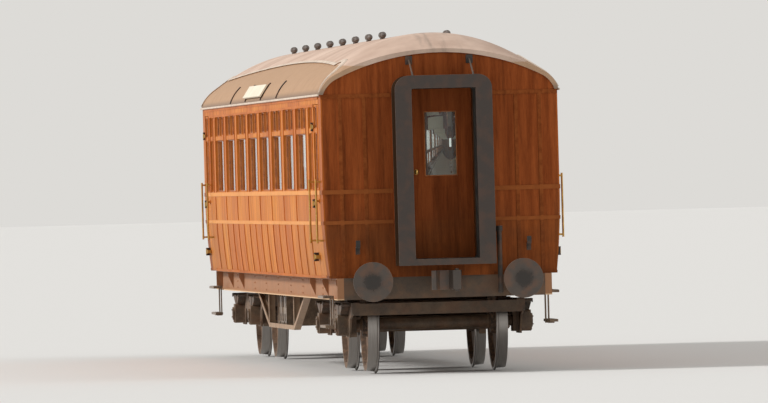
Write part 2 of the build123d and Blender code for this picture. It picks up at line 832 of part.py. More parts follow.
def bogie_side():
    """The left side plate: a horn slot at each axle, a belly between, tapered ends."""
    top, low = BOGIE_TOP, BOGIE_TOP - FRAME_DEPTH
    slot = AXLEBOX[0] / 2 + SEAT
    horn = slot + HORN
    horn_z = AXLE_Z - AXLEBOX[2] / 2 - HORN_CLEAR
    slot_z = AXLE_Z + AXLEBOX[2] / 2 + 30.0
    half = [
        (FRAME_BELLY, low - FRAME_TAPER),
        (WHEELBASE / 2 - horn - HORN_FOOT, low),
        (WHEELBASE / 2 - horn, horn_z + 40),
        (WHEELBASE / 2 - horn, horn_z),
        (WHEELBASE / 2 - slot, horn_z),
        (WHEELBASE / 2 - slot, slot_z),
        (WHEELBASE / 2 + slot, slot_z),
        (WHEELBASE / 2 + slot, horn_z),
        (WHEELBASE / 2 + horn, horn_z),
        (WHEELBASE / 2 + horn, horn_z + 40),
        (WHEELBASE / 2 + horn + HORN_FOOT, low),
        (BOGIE_HALF, low + FRAME_TAPER),
        (BOGIE_HALF, top),
    ]
    points = [(x, FRAME_IN_Y, z) for x, z in half]
    points += [(-x, FRAME_IN_Y, z) for x, z in reversed(half)]
    return prism(points, (0, 1, 0), FRAME_PLATE)


def bogie_frame():
    """Side plates with their lips and horn ties, joined by channels, bars and the spring plank."""
    horn = AXLEBOX[0] / 2 + SEAT + HORN
    horn_z = AXLE_Z - AXLEBOX[2] / 2 - HORN_CLEAR
    lip_z = BOGIE_TOP - LIP_THICK
    plate = bogie_side()
    inner_y = FRAME_IN_Y - FRAME_LIP
    lip = block(-BOGIE_HALF, BOGIE_HALF, inner_y, FRAME_IN_Y, lip_z, BOGIE_TOP)
    pieces = [plate, mirrored(plate), lip, mirrored(lip)]
    for sign in (-1, 1):
        x = sign * WHEELBASE / 2
        tie = block(x - horn, x + horn, FRAME_IN_Y, FRAME_IN_Y + FRAME_PLATE, horn_z - HORN_TIE, horn_z)
        pieces += [tie, mirrored(tie)]
        ends = (-FRAME_IN_Y, FRAME_IN_Y)
        low = lip_z - HEAD_DEPTH
        pieces.append(channel("y", sign * BOGIE_HALF, -sign * CROSS_FLANGE, *ends, low, lip_z))
        low = lip_z - TRANSOM_DEPTH
        pieces.append(channel("y", sign * TRANSOM_X, sign * CROSS_FLANGE, *ends, low, lip_z))
        bar_x, bar_z = sign * BRAKE_BAR_X, BOGIE_TOP - HANGER_DROP
        pieces.append(rod((bar_x, -FRAME_IN_Y, bar_z), (bar_x, FRAME_IN_Y, bar_z), HANGER_BAR))
        for side in (-1, 1):
            y = side * (PLANK_HALF - 10)
            top = BOGIE_TOP - 60
            link = (sign * TRANSOM_X, sign * (TRANSOM_X - LINK[0]), y, y - side * LINK[1])
            pieces.append(block(*link, PLANK_Z + PLANK_THICK, top))
    pieces.append(block(-TRANSOM_X, TRANSOM_X, -PLANK_HALF, PLANK_HALF, PLANK_Z, PLANK_Z + PLANK_THICK))
    return pieces


def bolster():
    """The swing bolster with its pivot bore and side bearers."""
    half = BOLSTER_HALF
    y = FRAME_IN_Y - FRAME_LIP - 6.0
    top = BOGIE_TOP + BOLSTER_RISE
    beam = block(-half, half, -y, y, BOGIE_TOP - BOLSTER_DROP, top)
    beam = fillet(beam.edges().filter_by(Axis.Y).group_by(Axis.Z)[-1], 24)
    plate = Pos(0, 0, top + 10) * Cylinder(CENTRE_PLATE, 20)
    bore = Pos(0, 0, BOGIE_TOP) * Cylinder(PIVOT_RADIUS + RUNNING_GAP, 600)
    pads = [block(-120, 120, at - 70, at + 70, top, top + 15) for at in (-700, 700)]
    return less(fused([beam, plate] + pads), bore)


def axleboxes():
    """Four axleboxes flanged on both sides of the frame plate, with round covers."""
    length, width, height = AXLEBOX
    middle = JOURNAL_Y + 22
    found = []
    for x in (-WHEELBASE / 2, WHEELBASE / 2):
        for side in (-1, 1):
            body = Box(length, width, height)
            body = fillet(body.edges().filter_by(Axis.Y), 30)
            pieces = [Pos(x, side * middle, AXLE_Z) * body]
            low, high = AXLE_Z - height / 2 + 20, AXLE_Z + height / 2 - 20
            reach = length / 2 + GUIDE_LAP
            for face in (FRAME_IN_Y - RUNNING_GAP - GUIDE, FRAME_IN_Y + FRAME_PLATE + RUNNING_GAP):
                guide = block(x - reach, x + reach, side * face, side * (face + GUIDE), low, high)
                pieces.append(guide)
            front = middle + width / 2
            rim = side * (front + COVER_THICK)
            cover = rod((x, side * (front - 2), AXLE_Z), (x, rim, AXLE_Z), COVER_RADIUS)
            cover = fillet(cover.edges(), 2)
            drain = block(x - 70, x + 70, side * (front - 2), side * (front + 14), AXLE_Z - 112, AXLE_Z - 40)
            pieces += [cover, drain]
            start, end = side * (JOURNAL_Y - 200), side * (JOURNAL_Y + JOURNAL_END + 10)
            bore = rod((x, start, AXLE_Z), (x, end, AXLE_Z), JOURNAL_RADIUS + RUNNING_GAP)
            found.append(less(fused(pieces), bore))
    return found


def leaf_spring(x, side):
    """A laminated spring on its axlebox, its eyes held by shackles under the frame's top."""
    base = AXLE_Z + AXLEBOX[2] / 2 + SEAT
    y0 = FRAME_Y + FRAME_PLATE / 2 + 8
    y1 = y0 + SPRING_WIDTH
    centre_z = base + SPRING_RADIUS

    def at(r, angle):
        return (r * math.sin(angle), y0, centre_z - r * math.cos(angle))

    leaves = []
    for index in range(SPRING_LEAVES):
        share = SHORT_LEAF + (1 - SHORT_LEAF) * (index + 1) / SPRING_LEAVES
        half = SPRING_LENGTH * share / 2 / SPRING_RADIUS
        outer = SPRING_RADIUS - index * LEAF
        inner = outer - LEAF
        low = ThreePointArc(at(outer, -half), at(outer, 0), at(outer, half))
        high = ThreePointArc(at(inner, half), at(inner, 0), at(inner, -half))
        ends = [Line(at(outer, half), at(inner, half)), Line(at(inner, -half), at(outer, -half))]
        leaves.append(extrude(make_face([low, ends[0], high, ends[1]]), amount=SPRING_WIDTH, dir=(0, 1, 0)))
    top = base + SPRING_LEAVES * LEAF + 14
    pieces = leaves + [block(-45, 45, y0 - 6, y1 + 6, base, top)]
    middle = SPRING_RADIUS - (SPRING_LEAVES - 0.5) * LEAF
    for end in (-1, 1):
        eye_x, _, eye_z = at(middle, end * SPRING_LENGTH / 2 / SPRING_RADIUS)
        pieces.append(rod((eye_x, y0, eye_z), (eye_x, y1, eye_z), EYE_RADIUS))
        pieces.append(rod((eye_x, y0 - 8 + SEAT, eye_z), (eye_x, y1 + SHACKLE, eye_z), EYE_RADIUS / 2))
        for low_y, high_y in ((y0 - 8 + SEAT, y0 + SEAT), (y1, y1 + SHACKLE)):
            pieces.append(block(eye_x - 22, eye_x + 22, low_y, high_y, eye_z - 30, BOGIE_TOP - 2))
    shape = Pos(x, 0, 0) * fused(pieces)
    return shape if side > 0 else mirrored(shape)


def coil_springs():
    """Two nests of coils between the spring plank and the bolster, on seat plates."""
    low, high = PLANK_Z + PLANK_THICK + SEAT, BOGIE_TOP - BOLSTER_DROP - SEAT
    rise = high - low - 2 * COIL_SEAT - 2 * COIL_WIRE
    path = Helix(pitch=rise / COIL_TURNS, height=rise, radius=COIL_RADIUS)
    wire = sweep(Plane(origin=path @ 0, z_dir=path % 0) * Circle(COIL_WIRE), path=path, is_frenet=True)
    found = []
    for y in (-PLANK_HALF + COIL_IN, PLANK_HALF - COIL_IN):
        for x in (-COIL_X, COIL_X):
            found.append(Pos(x, y, low + COIL_SEAT + COIL_WIRE) * wire)
            for z in (low, high - COIL_SEAT):
                found.append(Pos(x, y, z + COIL_SEAT / 2) * Cylinder(COIL_RADIUS + COIL_WIRE, COIL_SEAT))
    return found


def brake_gear():
    """Brake blocks inside each wheel, hung from the cross bars, with a beam."""
    found = []
    y = WHEEL_BACK + FLANGE_WIDTH + 52
    bend = math.radians(SHOE_ANGLE)
    for sign in (-1, 1):
        axle_x = sign * WHEELBASE / 2
        pieces = []
        for side in (-1, 1):

            def at(r, angle):
                return (axle_x - sign * r * math.cos(angle), side * y, AXLE_Z + r * math.sin(angle))

            shoe = make_face(
                [
                    ThreePointArc(at(SHOE_INNER, -bend), at(SHOE_INNER, 0), at(SHOE_INNER, bend)),
                    Line(at(SHOE_INNER, bend), at(SHOE_OUTER, bend)),
                    ThreePointArc(at(SHOE_OUTER, bend), at(SHOE_OUTER, 0), at(SHOE_OUTER, -bend)),
                    Line(at(SHOE_OUTER, -bend), at(SHOE_INNER, -bend)),
                ]
            )
            pieces.append(extrude(shoe, amount=SHOE_HALF, both=True, dir=(0, 1, 0)))
            hang_x = axle_x - sign * (SHOE_OUTER + 8)
            hang_z = BOGIE_TOP - HANGER_DROP - HANGER_BAR - SEAT
            pieces.append(block(hang_x - 14, hang_x + 14, side * y - 20, side * y + 20, AXLE_Z - 60, hang_z))
        beam_x = axle_x - sign * (SHOE_OUTER + 30)
        pieces.append(block(beam_x - 30, beam_x + 30, -y, y, AXLE_Z - 28, AXLE_Z + 28))
        found.append(fused(pieces))
    return found


def cross_members():
    """Place and half-width along the coach of what runs across the underframe."""
    found = [(x, CROSS_FLANGE / 2) for x in CROSSBARS]
    found += [(side * BOGIE_X, BODY_BOLSTER[0] / 2) for side in (-1, 1)]
    found += [(side * (HEADSTOCK_X - CROSS_FLANGE / 2), CROSS_FLANGE / 2) for side in (-1, 1)]
    return sorted(found)


def underframe():
    """Channels for solebars, headstocks and crossbars, with longitudinals, bolsters and pivots."""
    ends = (-SOLEBAR_Y, SOLEBAR_Y)
    length = HEADSTOCK_X - CROSS_FLANGE
    solebar = channel("x", SOLEBAR_Y, SOLEBAR_FLANGE, -length, length, SOLEBAR_Z, BOTTOM_Z)
    pieces = [solebar, mirrored(solebar)]
    bolster_z = BOTTOM_Z - BODY_BOLSTER[1]
    plate_z = BOGIE_TOP + BOLSTER_RISE + 20 + RUNNING_GAP
    for sign in (-1, 1):
        edges = (-SOLEBAR_EDGE, SOLEBAR_EDGE)
        pieces.append(channel("y", sign * HEADSTOCK_X, -sign * CROSS_FLANGE, *edges, SOLEBAR_Z, BOTTOM_Z))
        x, half = sign * BOGIE_X, BODY_BOLSTER[0] / 2
        pieces.append(block(x - half, x + half, *ends, bolster_z, BOTTOM_Z))
        pieces.append(Pos(x, 0, (plate_z + bolster_z) / 2) * Cylinder(CENTRE_PLATE, bolster_z - plate_z))
        pieces.append(rod((x, 0, BOGIE_TOP - 90), (x, 0, plate_z), PIVOT_RADIUS))
    for x in CROSSBARS:
        web = x - CROSS_FLANGE / 2
        pieces.append(channel("y", web, CROSS_FLANGE, *ends, CROSSBAR_Z, BOTTOM_Z))
    members = cross_members()
    for (x0, half0), (x1, half1) in zip(members, members[1:]):
        for side in (-1, 1):
            y0 = side * (SILL_BEAM_Y - SILL_BEAM_WIDTH / 2)
            y1 = side * (SILL_BEAM_Y + SILL_BEAM_WIDTH / 2)
            pieces.append(block(x0 + half0, x1 - half1, y0, y1, BOTTOM_Z - SILL_BEAM, BOTTOM_Z))
    return pieces


def truss():
    """The left truss: two queen posts, a level tie and two raking ties of angle iron."""
    y0, y1 = SOLEBAR_Y - 90, SOLEBAR_Y - 10
    top, low = CROSSBAR_Z - SEAT, SOLEBAR_Z - TRUSS_DROP
    post_x = CROSSBARS[3]
    pieces = []
    for x in (-post_x, post_x):
        half = TRUSS_POST / 2
        pieces.append(block(x - half, x + half, y1 - STEEL, y1, low, top))
        pieces.append(block(x - STEEL / 2, x + STEEL / 2, y0, y1, low, top))
        pieces.append(block(x - half, x + half, y0, y1, top - STEEL, top))
    pieces.append(block(-post_x, post_x, y1 - STEEL, y1, low, low + TRUSS_DEPTH))
    pieces.append(block(-post_x, post_x, y0, y1, low, low + STEEL))
    for sign in (-1, 1):
        end_x = sign * CROSSBARS[4]
        foot_x = sign * post_x
        outline = (
            (foot_x, y1 - STEEL, low),
            (foot_x, y1 - STEEL, low + TRUSS_DEPTH),
            (end_x + sign * 45, y1 - STEEL, top),
            (end_x - sign * 45, y1 - STEEL, top - TRUSS_DEPTH),
        )
        pieces.append(prism(outline, (0, 1, 0), STEEL))
        foot = (
            (foot_x, y0, low),
            (foot_x, y0, low + STEEL),
            (end_x - sign * 45, y0, top - TRUSS_DEPTH + STEEL),
            (end_x - sign * 45, y0, top - TRUSS_DEPTH),
        )
        pieces.append(prism(foot, (0, 1, 0), y1 - y0))
        pieces.append(block(end_x - 45, end_x + 45, y1 - STEEL, y1, top - TRUSS_DEPTH, top))
    return fused(pieces)


def floor():
    """The floor slab with its bowed ends, on bearers across the underframe."""
    half = side_y(FLOOR_Z - FLOOR_THICK, WALL) - SEAT
    low = side_y(BOTTOM_Z, WALL) - SEAT
    under = FLOOR_Z - FLOOR_THICK
    slab = common(
        block(-10, END_X, -half, half, under, FLOOR_Z),
        extrude(plan(WALL + SEAT, -20), amount=FLOOR_Z + 500),
    )
    slab = fused([slab, turned(slab)])
    end = CORNER_X - WALL - 5
    bearers = []
    for at in (0.0, 1500.0, 3000.0, 4500.0, BOGIE_X - 650, BOGIE_X + 650, end - 500, end - BEARER):
        for sign in (-1, 1) if at else (1,):
            x = sign * at
            bearers.append(block(x - BEARER / 2, x + BEARER / 2, -low, low, BOTTOM_Z + SEAT, under))
    return [slab] + bearers


def gutter():
    """The left gutter moulding under the roof's edge."""
    x = CORNER_X + 10
    y = ROOF_HALF
    trough = block(-x, x, y + SEAT, y + GUTTER_PROUD, CANTRAIL_Z - 14, CANTRAIL_Z + 10)
    return fillet(trough.edges().filter_by(Axis.X).group_by(Axis.Y)[-1], 6)


def cantrail():
    """The left cantrail beam over the doors."""
    shape = wall(-DOOR_OUT_X, DOOR_OUT_X, 0, WALL, RAIL_Z, CANTRAIL_Z - SEAT)
    lip = bead(-DOOR_OUT_X, DOOR_OUT_X, CANTRAIL_Z - CANTRAIL_LIP, CANTRAIL_Z - SEAT)
    return fused([shape, lip])


def gangway():
    """The front gangway's face plate and its bellows."""
    inner = DOORWAY_WIDTH / 2
    outer = GANGWAY_WIDTH / 2
    z0, z1 = FLOOR_Z, FLOOR_Z + DOORWAY_HEIGHT
    x0, x1 = END_X + GANGWAY_FOOT + SEAT, END_X + GANGWAY_LENGTH
    plate = block(x1 - GANGWAY_PLATE, x1, -outer, outer, z0 - GANGWAY_SILL, z1 + GANGWAY_HEAD)
    plate = fillet(plate.edges().filter_by(Axis.X).group_by(Axis.Z)[-1], GANGWAY_ROUND)
    plate = less(plate, block(x1 - 200, x1 + 50, -inner, inner, z0, z1))
    half, way = outer - BELLOWS_IN, inner + BELLOWS_LIP
    low, high = z0 - GANGWAY_SILL + 20, z1 + GANGWAY_HEAD - 40
    bellows = block(x0, x1 - GANGWAY_PLATE - SEAT, -half, half, low, high)
    bellows = fillet(bellows.edges().filter_by(Axis.X).group_by(Axis.Z)[-1], GANGWAY_ROUND - BELLOWS_LIP)
    bellows = less(bellows, block(x0 - 50, x1, -way, way, z0 - 10, z1 + BELLOWS_LIP))
    return plate, bellows


def gangway_hinge_heights():
    """Heights of a gangway door's three hinges."""
    return [FLOOR_Z + level for level in LEAF_HINGES]


def gangway_door():
    """The front gangway door, hinged at its left edge to open inwards."""
    half = DOORWAY_WIDTH / 2 - DOOR_GAP
    x1, x0 = GANGWAY_LEAF_X, GANGWAY_LEAF_X - GANGWAY_LEAF
    hinge_x, hinge_y = GANGWAY_HINGE
    leaf = block(x0, x1, -half, half, FLOOR_Z + DOOR_GAP, FLOOR_Z + DOORWAY_HEIGHT - DOOR_GAP)
    wide, low, high = LEAF_LIGHT
    light = block(x0 - 20, x1 + 20, -wide, wide, FLOOR_Z + low, FLOOR_Z + high)
    wide, low, high = LEAF_PANEL
    panel = block(x1 - 10, x1 + 20, -wide, wide, FLOOR_Z + low, FLOOR_Z + high)
    pieces = [less(leaf, light, panel)]
    for z in gangway_hinge_heights():
        pieces.append(Pos(hinge_x, hinge_y, z) * Cylinder(KNUCKLE_RADIUS, 2 * KNUCKLE_HALF))
        low, high = z - STRAP_HALF, z + STRAP_HALF
        pieces.append(block(hinge_x - STRAP_THICK, x0 + 2, hinge_y - 110, hinge_y, low, high))
    return less(fused(pieces), *pin_holes(hinge_x, hinge_y, gangway_hinge_heights()))


def gangway_hinges():
    """Brackets and pins on the inside of the front end wall."""
    hinge_x, hinge_y = GANGWAY_HINGE
    foot = bow_x(hinge_y + BRACKET, WALL) - SEAT - hinge_x
    bracket = hinge_bracket(0, -foot).rotate(Axis.Z, 90)
    return [Pos(hinge_x, hinge_y, z) * bracket for z in gangway_hinge_heights()]


def buffer(side):
    """A front side buffer: base plate, ribbed housing, shank and a domed head with a flat middle."""
    tip = BUFFER_LENGTH
    lines = Polyline(
        (tip, BUFFER_FLAT),
        (tip, 0),
        (0, 0),
        (0, 128),
        (22, 128),
        (282, 92),
        (282, 104),
        (306, 104),
        (306, SHANK_RADIUS),
        (tip - 62, SHANK_RADIUS),
        (tip - 34, 110),
        (tip - 30, BUFFER_HEAD_RADIUS),
        (tip - BUFFER_DOME, BUFFER_HEAD_RADIUS),
    )
    depth = (BUFFER_DOME**2 + BUFFER_HEAD_RADIUS**2 - BUFFER_FLAT**2) / (2 * BUFFER_DOME)
    half = (BUFFER_HEAD_RADIUS + BUFFER_FLAT) / 2
    middle = tip - depth + math.sqrt(depth**2 + BUFFER_FLAT**2 - half**2)
    rim = (tip - BUFFER_DOME, BUFFER_HEAD_RADIUS)
    dome = ThreePointArc(rim, (middle, half), (tip, BUFFER_FLAT))
    barrel = revolve(make_face([lines, dome]), axis=Axis.X)
    base = fillet(Box(22, 290, 250).edges().filter_by(Axis.X), 24)
    outline = ((22, 70, -7), (22, 148, -7), (60, 148, -7), (240, 96, -7), (240, 70, -7))
    rib = prism(outline, (0, 0, 1), 14)
    ribs = [rib.rotate(Axis.X, 45 + 90 * quarter) for quarter in range(4)]
    shape = fused([barrel, Pos(11, 0, 0) * base] + ribs)
    return Pos(HEADSTOCK_X, side * BUFFER_Y, BUFFER_Z) * shape


def coupler():
    """The front automatic coupler: shank, head with its guard arm, and knuckle pin."""
    x, z = HEADSTOCK_X, BUFFER_Z
    reach, half = COUPLER_SHANK
    shank = block(x, x + reach, -half, half, z - 90, BOTTOM_Z - 4)
    outline = [(x + out, y, z - COUPLER_HALF) for out, y in COUPLER_SHAPE]
    head = prism(outline, (0, 0, 1), 2 * COUPLER_HALF)
    head = fillet(head.edges().filter_by(Axis.Z), 12)
    out, y, radius, length = COUPLER_PIN
    return fused([shank, head, Pos(x + out, y, z) * Cylinder(radius, length)])


def partition():
    """The front saloon partition with its doorway, up to the ceiling."""
    x = PARTITION_X
    high = roof_run(x, x + PARTITION, ROOF_RISE, ROOF_THICK + SEAT)
    half = HALF_WIDTH - WALL - SEAT
    floor_half = side_y(FLOOR_Z, WALL) - SEAT
    low = block(x, x + PARTITION, -floor_half, floor_half, FLOOR_Z + SEAT, CANTRAIL_Z + 10)
    high = common(high, block(x, x + PARTITION, -half, half, CANTRAIL_Z, ABOVE_Z))
    half, lintel = PARTITION_DOOR, FLOOR_Z + PARTITION_DOOR_HEIGHT
    way = block(x - 10, x + 50, -half, half, FLOOR_Z - 10, lintel)
    return less(fused([low, high]), way)


def seat_pair(x, side, ends):
    """Back-to-back seats: a back, and a cushion towards each end named."""
    y0, y1 = side * SEAT_Y, side * (side_y(FLOOR_Z, WALL) - SEAT_FROM_WALL)
    base, top = FLOOR_Z + SEAT_BASE, FLOOR_Z + CUSHION_TOP
    pieces = [block(x - BACK_HALF, x + BACK_HALF, y0, y1, base, FLOOR_Z + BACK_TOP)]
    for end in ends:
        pieces.append(block(x + end * BACK_HALF, x + end * CUSHION_REACH, y0, y1, base, top))
    return pieces


def seat_frame(x, side, ends):
    """The wooden base below a pair of seats."""
    y0 = side * (SEAT_Y + FRAME_IN)
    y1 = side * (side_y(FLOOR_Z, WALL) - SEAT_FROM_WALL - FRAME_IN)
    low = x - (FRAME_REACH if -1 in ends else FRAME_BACK)
    high = x + (FRAME_REACH if 1 in ends else FRAME_BACK)
    return block(low, high, y0, y1, FLOOR_Z + SEAT, FLOOR_Z + SEAT_BASE - SEAT)


def seat_rows():
    """Place, and the ends that seats face, at each bay boundary."""
    last = SALOON_X - 100
    inner = [(index * BAY - SALOON_X, (-1, 1)) for index in range(1, BAYS)]
    return [(-last, (1,))] + inner + [(last, (-1,))]


def table(x, side):
    """A table on its leg beside the window: the top, then the leg."""
    top_z = FLOOR_Z + TABLE_TOP
    y1 = side_y(top_z - TABLE_THICK, WALL) - SEAT
    top = block(x - TABLE_HALF, x + TABLE_HALF, side * TABLE_Y, side * y1, top_z - TABLE_THICK, top_z)
    top = fillet(top.edges().filter_by(Axis.Z).group_by(Axis.Y)[0 if side > 0 else -1], TABLE_ROUND)
    half = TABLE_LEG / 2
    leg_y = side * (TABLE_Y + TABLE_LEG_IN)
    leg = block(x - half, x + half, leg_y - half, leg_y + half, FLOOR_Z + SEAT, top_z - TABLE_THICK)
    return [top, leg]


def rack():
    """The left luggage rack: long rails on flat irons from the wall."""
    y1 = HALF_WIDTH - WALL - SEAT
    z = CANTRAIL_Z - RACK_DROP
    reach = SALOON_X - 60
    pieces = []
    for share in (0.0, 0.25, 0.5, 0.75):
        y = y1 - RACK_DEPTH * (1 - share) + RACK_RAIL
        rise = 10 if share else 30
        pieces.append(rod((-reach, y, z + rise), (reach, y, z + rise), RACK_RAIL))
    for index in range(BAYS + 1):
        x = max(-reach + RACK_IRON / 2, min(reach - RACK_IRON / 2, index * BAY - SALOON_X))
        half = RACK_IRON / 2
        outline = (
            (x - half, y1, z - 60),
            (x - half, y1, z + 12),
            (x - half, y1 - RACK_DEPTH, z + 30),
            (x - half, y1 - RACK_DEPTH, z + 14),
            (x - half, y1 - RACK_DEPTH / 2, z - 8),
        )
        pieces.append(prism(outline, (1, 0, 0), RACK_IRON))
    return fused(pieces)


def roof_z(y):
    """The height of the roof's outer face above a distance from the middle."""
    shoulder, cy, cz, crown, crown_z = roof_circles(ROOF_RISE)
    if abs(y) < crown * math.sin(math.atan2(cy, cz - crown_z)):
        return crown_z + math.sqrt(crown**2 - y**2)
    return cz + math.sqrt(shoulder**2 - (abs(y) - cy) ** 2)


def ventilator(x, y):
    """A torpedo extractor along the roof, its neck cut to the roof's curve."""
    shell = revolve(make_face(Polyline(*VENT_SHAPE, close=True)), axis=Axis.X)
    ring = Cylinder(*VENT_RING, rotation=(0, 90, 0))
    rings = [Pos(at, 0, 0) * ring for at in (VENT_SHAPE[2][0], VENT_SHAPE[3][0])]
    neck = Pos(0, 0, -VENT_RISE) * Cylinder(VENT_NECK, 2 * VENT_RISE)
    shape = Pos(x, y, roof_z(y) + VENT_RISE) * fused([shell, neck] + rings)
    return less(shape, roof_run(x - 250, x + 250, ROOF_RISE, -SEAT))


def shoulder_band(x, low, high, inner, outer):
    """A strip across the left shoulder of the roof, between two heights above the eave."""
    shoulder, cy, cz = roof_circles(ROOF_RISE)[:3]
    x0, x1 = x - BRACKET_WIDTH / 2, x + BRACKET_WIDTH / 2
    reach = shoulder + 200
    corners = [(x0, cy, cz)]
    for height in (low, high):
        angle = math.asin((CANTRAIL_Z + height - cz) / shoulder)
        corners.append((x0, cy + reach * math.cos(angle), cz + reach * math.sin(angle)))
    wedge = prism(corners, (1, 0, 0), BRACKET_WIDTH)
    shell = less(roof_run(x0, x1, ROOF_RISE, -outer), roof_run(x0, x1, ROOF_RISE, -inner))
    return common(shell, wedge)


def roof_board():
    """The left roof board, laid on its brackets at the roof's slope."""
    shoulder, cy, cz = roof_circles(ROOF_RISE)[:3]
    angle = math.asin((CANTRAIL_Z + BOARD_RISE - cz) / shoulder)
    r = shoulder + BRACKET_THICK + 2 * SEAT + BOARD_THICK / 2
    y = cy + r * math.cos(angle)
    z = cz + r * math.sin(angle)
    plank = Box(BOARD_LENGTH, BOARD_THICK, BOARD_DEPTH).rotate(Axis.X, math.degrees(angle))
    return Pos(BOARD_X, y, z) * plank


def board_brackets():
    """Four flat irons bent over the left shoulder of the roof; the board lies on the middle two."""
    places = [BOARD_X + (index - 1.5) * BRACKET_PITCH for index in range(4)]
    return [shoulder_band(x, *BRACKET_SPAN, SEAT, BRACKET_THICK + SEAT) for x in places]


def handrail(x):
    """An upright grab rail stood off the left side by two stubs."""
    z0, z1 = (SILL_Z + level for level in RAIL_SPAN)
    y = HALF_WIDTH + RAIL_OUT
    pieces = [rod((x, y, z0), (x, y, z1), RAIL_RADIUS)]
    for z in (z0 + 30, z1 - 30):
        seat_y = side_y(z + STUB_RADIUS, 0) + SEAT
        pieces.append(rod((x, seat_y, z), (x, y, z), STUB_RADIUS))
    return fused(pieces)


def footsteps():
    """The two steps below the left front door: the boards, then their irons."""
    x0, x1 = DOOR_IN_X - 20, DOOR_OUT_X + 20
    back = SOLEBAR_EDGE + SEAT
    front = back + STEP_IRON
    upper_z, lower_z = SOLEBAR_Z + 20, SOLEBAR_Z - STEP_DROP
    boards = [
        block(x0, x1, front, HALF_WIDTH, upper_z, upper_z + STEP_THICK),
        block(x0, x1, front, HALF_WIDTH - 20, lower_z, lower_z + STEP_THICK),
    ]
    irons = []
    for x in (x1 - 420, x1 - 80):
        outline = (
            (x - 30, back, upper_z + STEP_THICK),
            (x - 30, back, lower_z - STEP_IRON),
            (x - 30, HALF_WIDTH - 60, lower_z - STEP_IRON),
            (x - 30, HALF_WIDTH - 60, lower_z),
            (x - 30, front, lower_z),
            (x - 30, front, upper_z + STEP_THICK),
        )
        irons.append(prism(outline, (1, 0, 0), 60))
    return boards + irons


def battery_box():
    """A battery box with panelled doors, then the bars and hangers of its cradle."""
    x0, x1 = BATTERY_X
    y1 = SOLEBAR_Y - BATTERY_INSET
    y0 = y1 - BATTERY_DEPTH
    low, high = (SOLEBAR_Z + level for level in BATTERY_SPAN)
    middle = (x0 + x1) / 2
    recesses = []
    for a, b in ((x0 + 50, middle - 30), (middle + 30, x1 - 50)):
        recesses.append(block(a, b, y1 - 10, y1 + 10, low + 60, high - 60))
    found = [less(block(x0, x1, y0, y1, low, high), *recesses)]
    bar_x = [CROSSBARS[index] + sign * (CROSS_FLANGE / 2 + SEAT) for index, sign in ((2, 1), (3, -1))]
    bar_z = high + CRADLE
    for y in (y0 + 30, y1 - 70):
        found.append(block(*bar_x, y, y + CRADLE, bar_z, bar_z + 50))
        for x in (x0 + 60, x1 - 120):
            found.append(block(x, x + 60, y, y + CRADLE, high, bar_z))
    return found


def brake_cylinder():
    """A vacuum brake cylinder with its flange and domed cover, hung from a longitudinal."""
    x, y = CYLINDER_X, SILL_BEAM_Y
    outline = Polyline(*CYLINDER_SHAPE, close=True)
    body = Pos(x, y, SOLEBAR_Z) * revolve(make_face(Plane.XZ * outline), axis=Axis.Z)
    top = SOLEBAR_Z + CYLINDER_SHAPE[-1][1]
    stem = rod((x, y, top), (x, y, BOTTOM_Z - SILL_BEAM - SEAT), CYLINDER_STEM)
    return [body, stem]


def dynamo():
    """The lighting dynamo with its pulley, slung from a longitudinal by a strap."""
    x, y = DYNAMO_X, SOLEBAR_Y - DYNAMO_IN
    z = SOLEBAR_Z - DYNAMO_DROP
    outline = Polyline(*DYNAMO_SHAPE, close=True)
    body = Pos(x, y, z) * revolve(make_face(Plane.XY * outline), axis=Axis.Y)
    half, reach, low, high = DYNAMO_CAP
    cap = block(x - half, x + half, y - reach, y + reach, z + low, z + high)
    near, far = SILL_BEAM_Y - 30, SILL_BEAM_Y + 30
    strap = block(x - 40, x + 40, near, far, z + high, BOTTOM_Z - SILL_BEAM - SEAT)
    return [fused([body, cap]), strap]


def pipe_stubs():
    """The front train pipe and its upright stub beside the coupler."""
    x, y = HEADSTOCK_X, HOSE_Y
    low = SOLEBAR_Z + 60
    base = rod((x + SEAT, y, low), (x + 90, y, low), 30)
    stand = rod((x + 80, y, SOLEBAR_Z + 40), (x + 80, y, BOTTOM_Z + 560), 28)
    collar = Pos(x + 80, y, BOTTOM_Z + 530) * Cylinder(38, 60)
    return fused([base, stand, collar])


def place(shapes, x):
    """The shapes moved along the coach."""
    return [Pos(x, 0, 0) * shape for shape in shapes]


def both_ends(shapes):
    """The shapes and the same ones half a turn away."""
    return list(shapes) + [turned(shape) for shape in shapes]


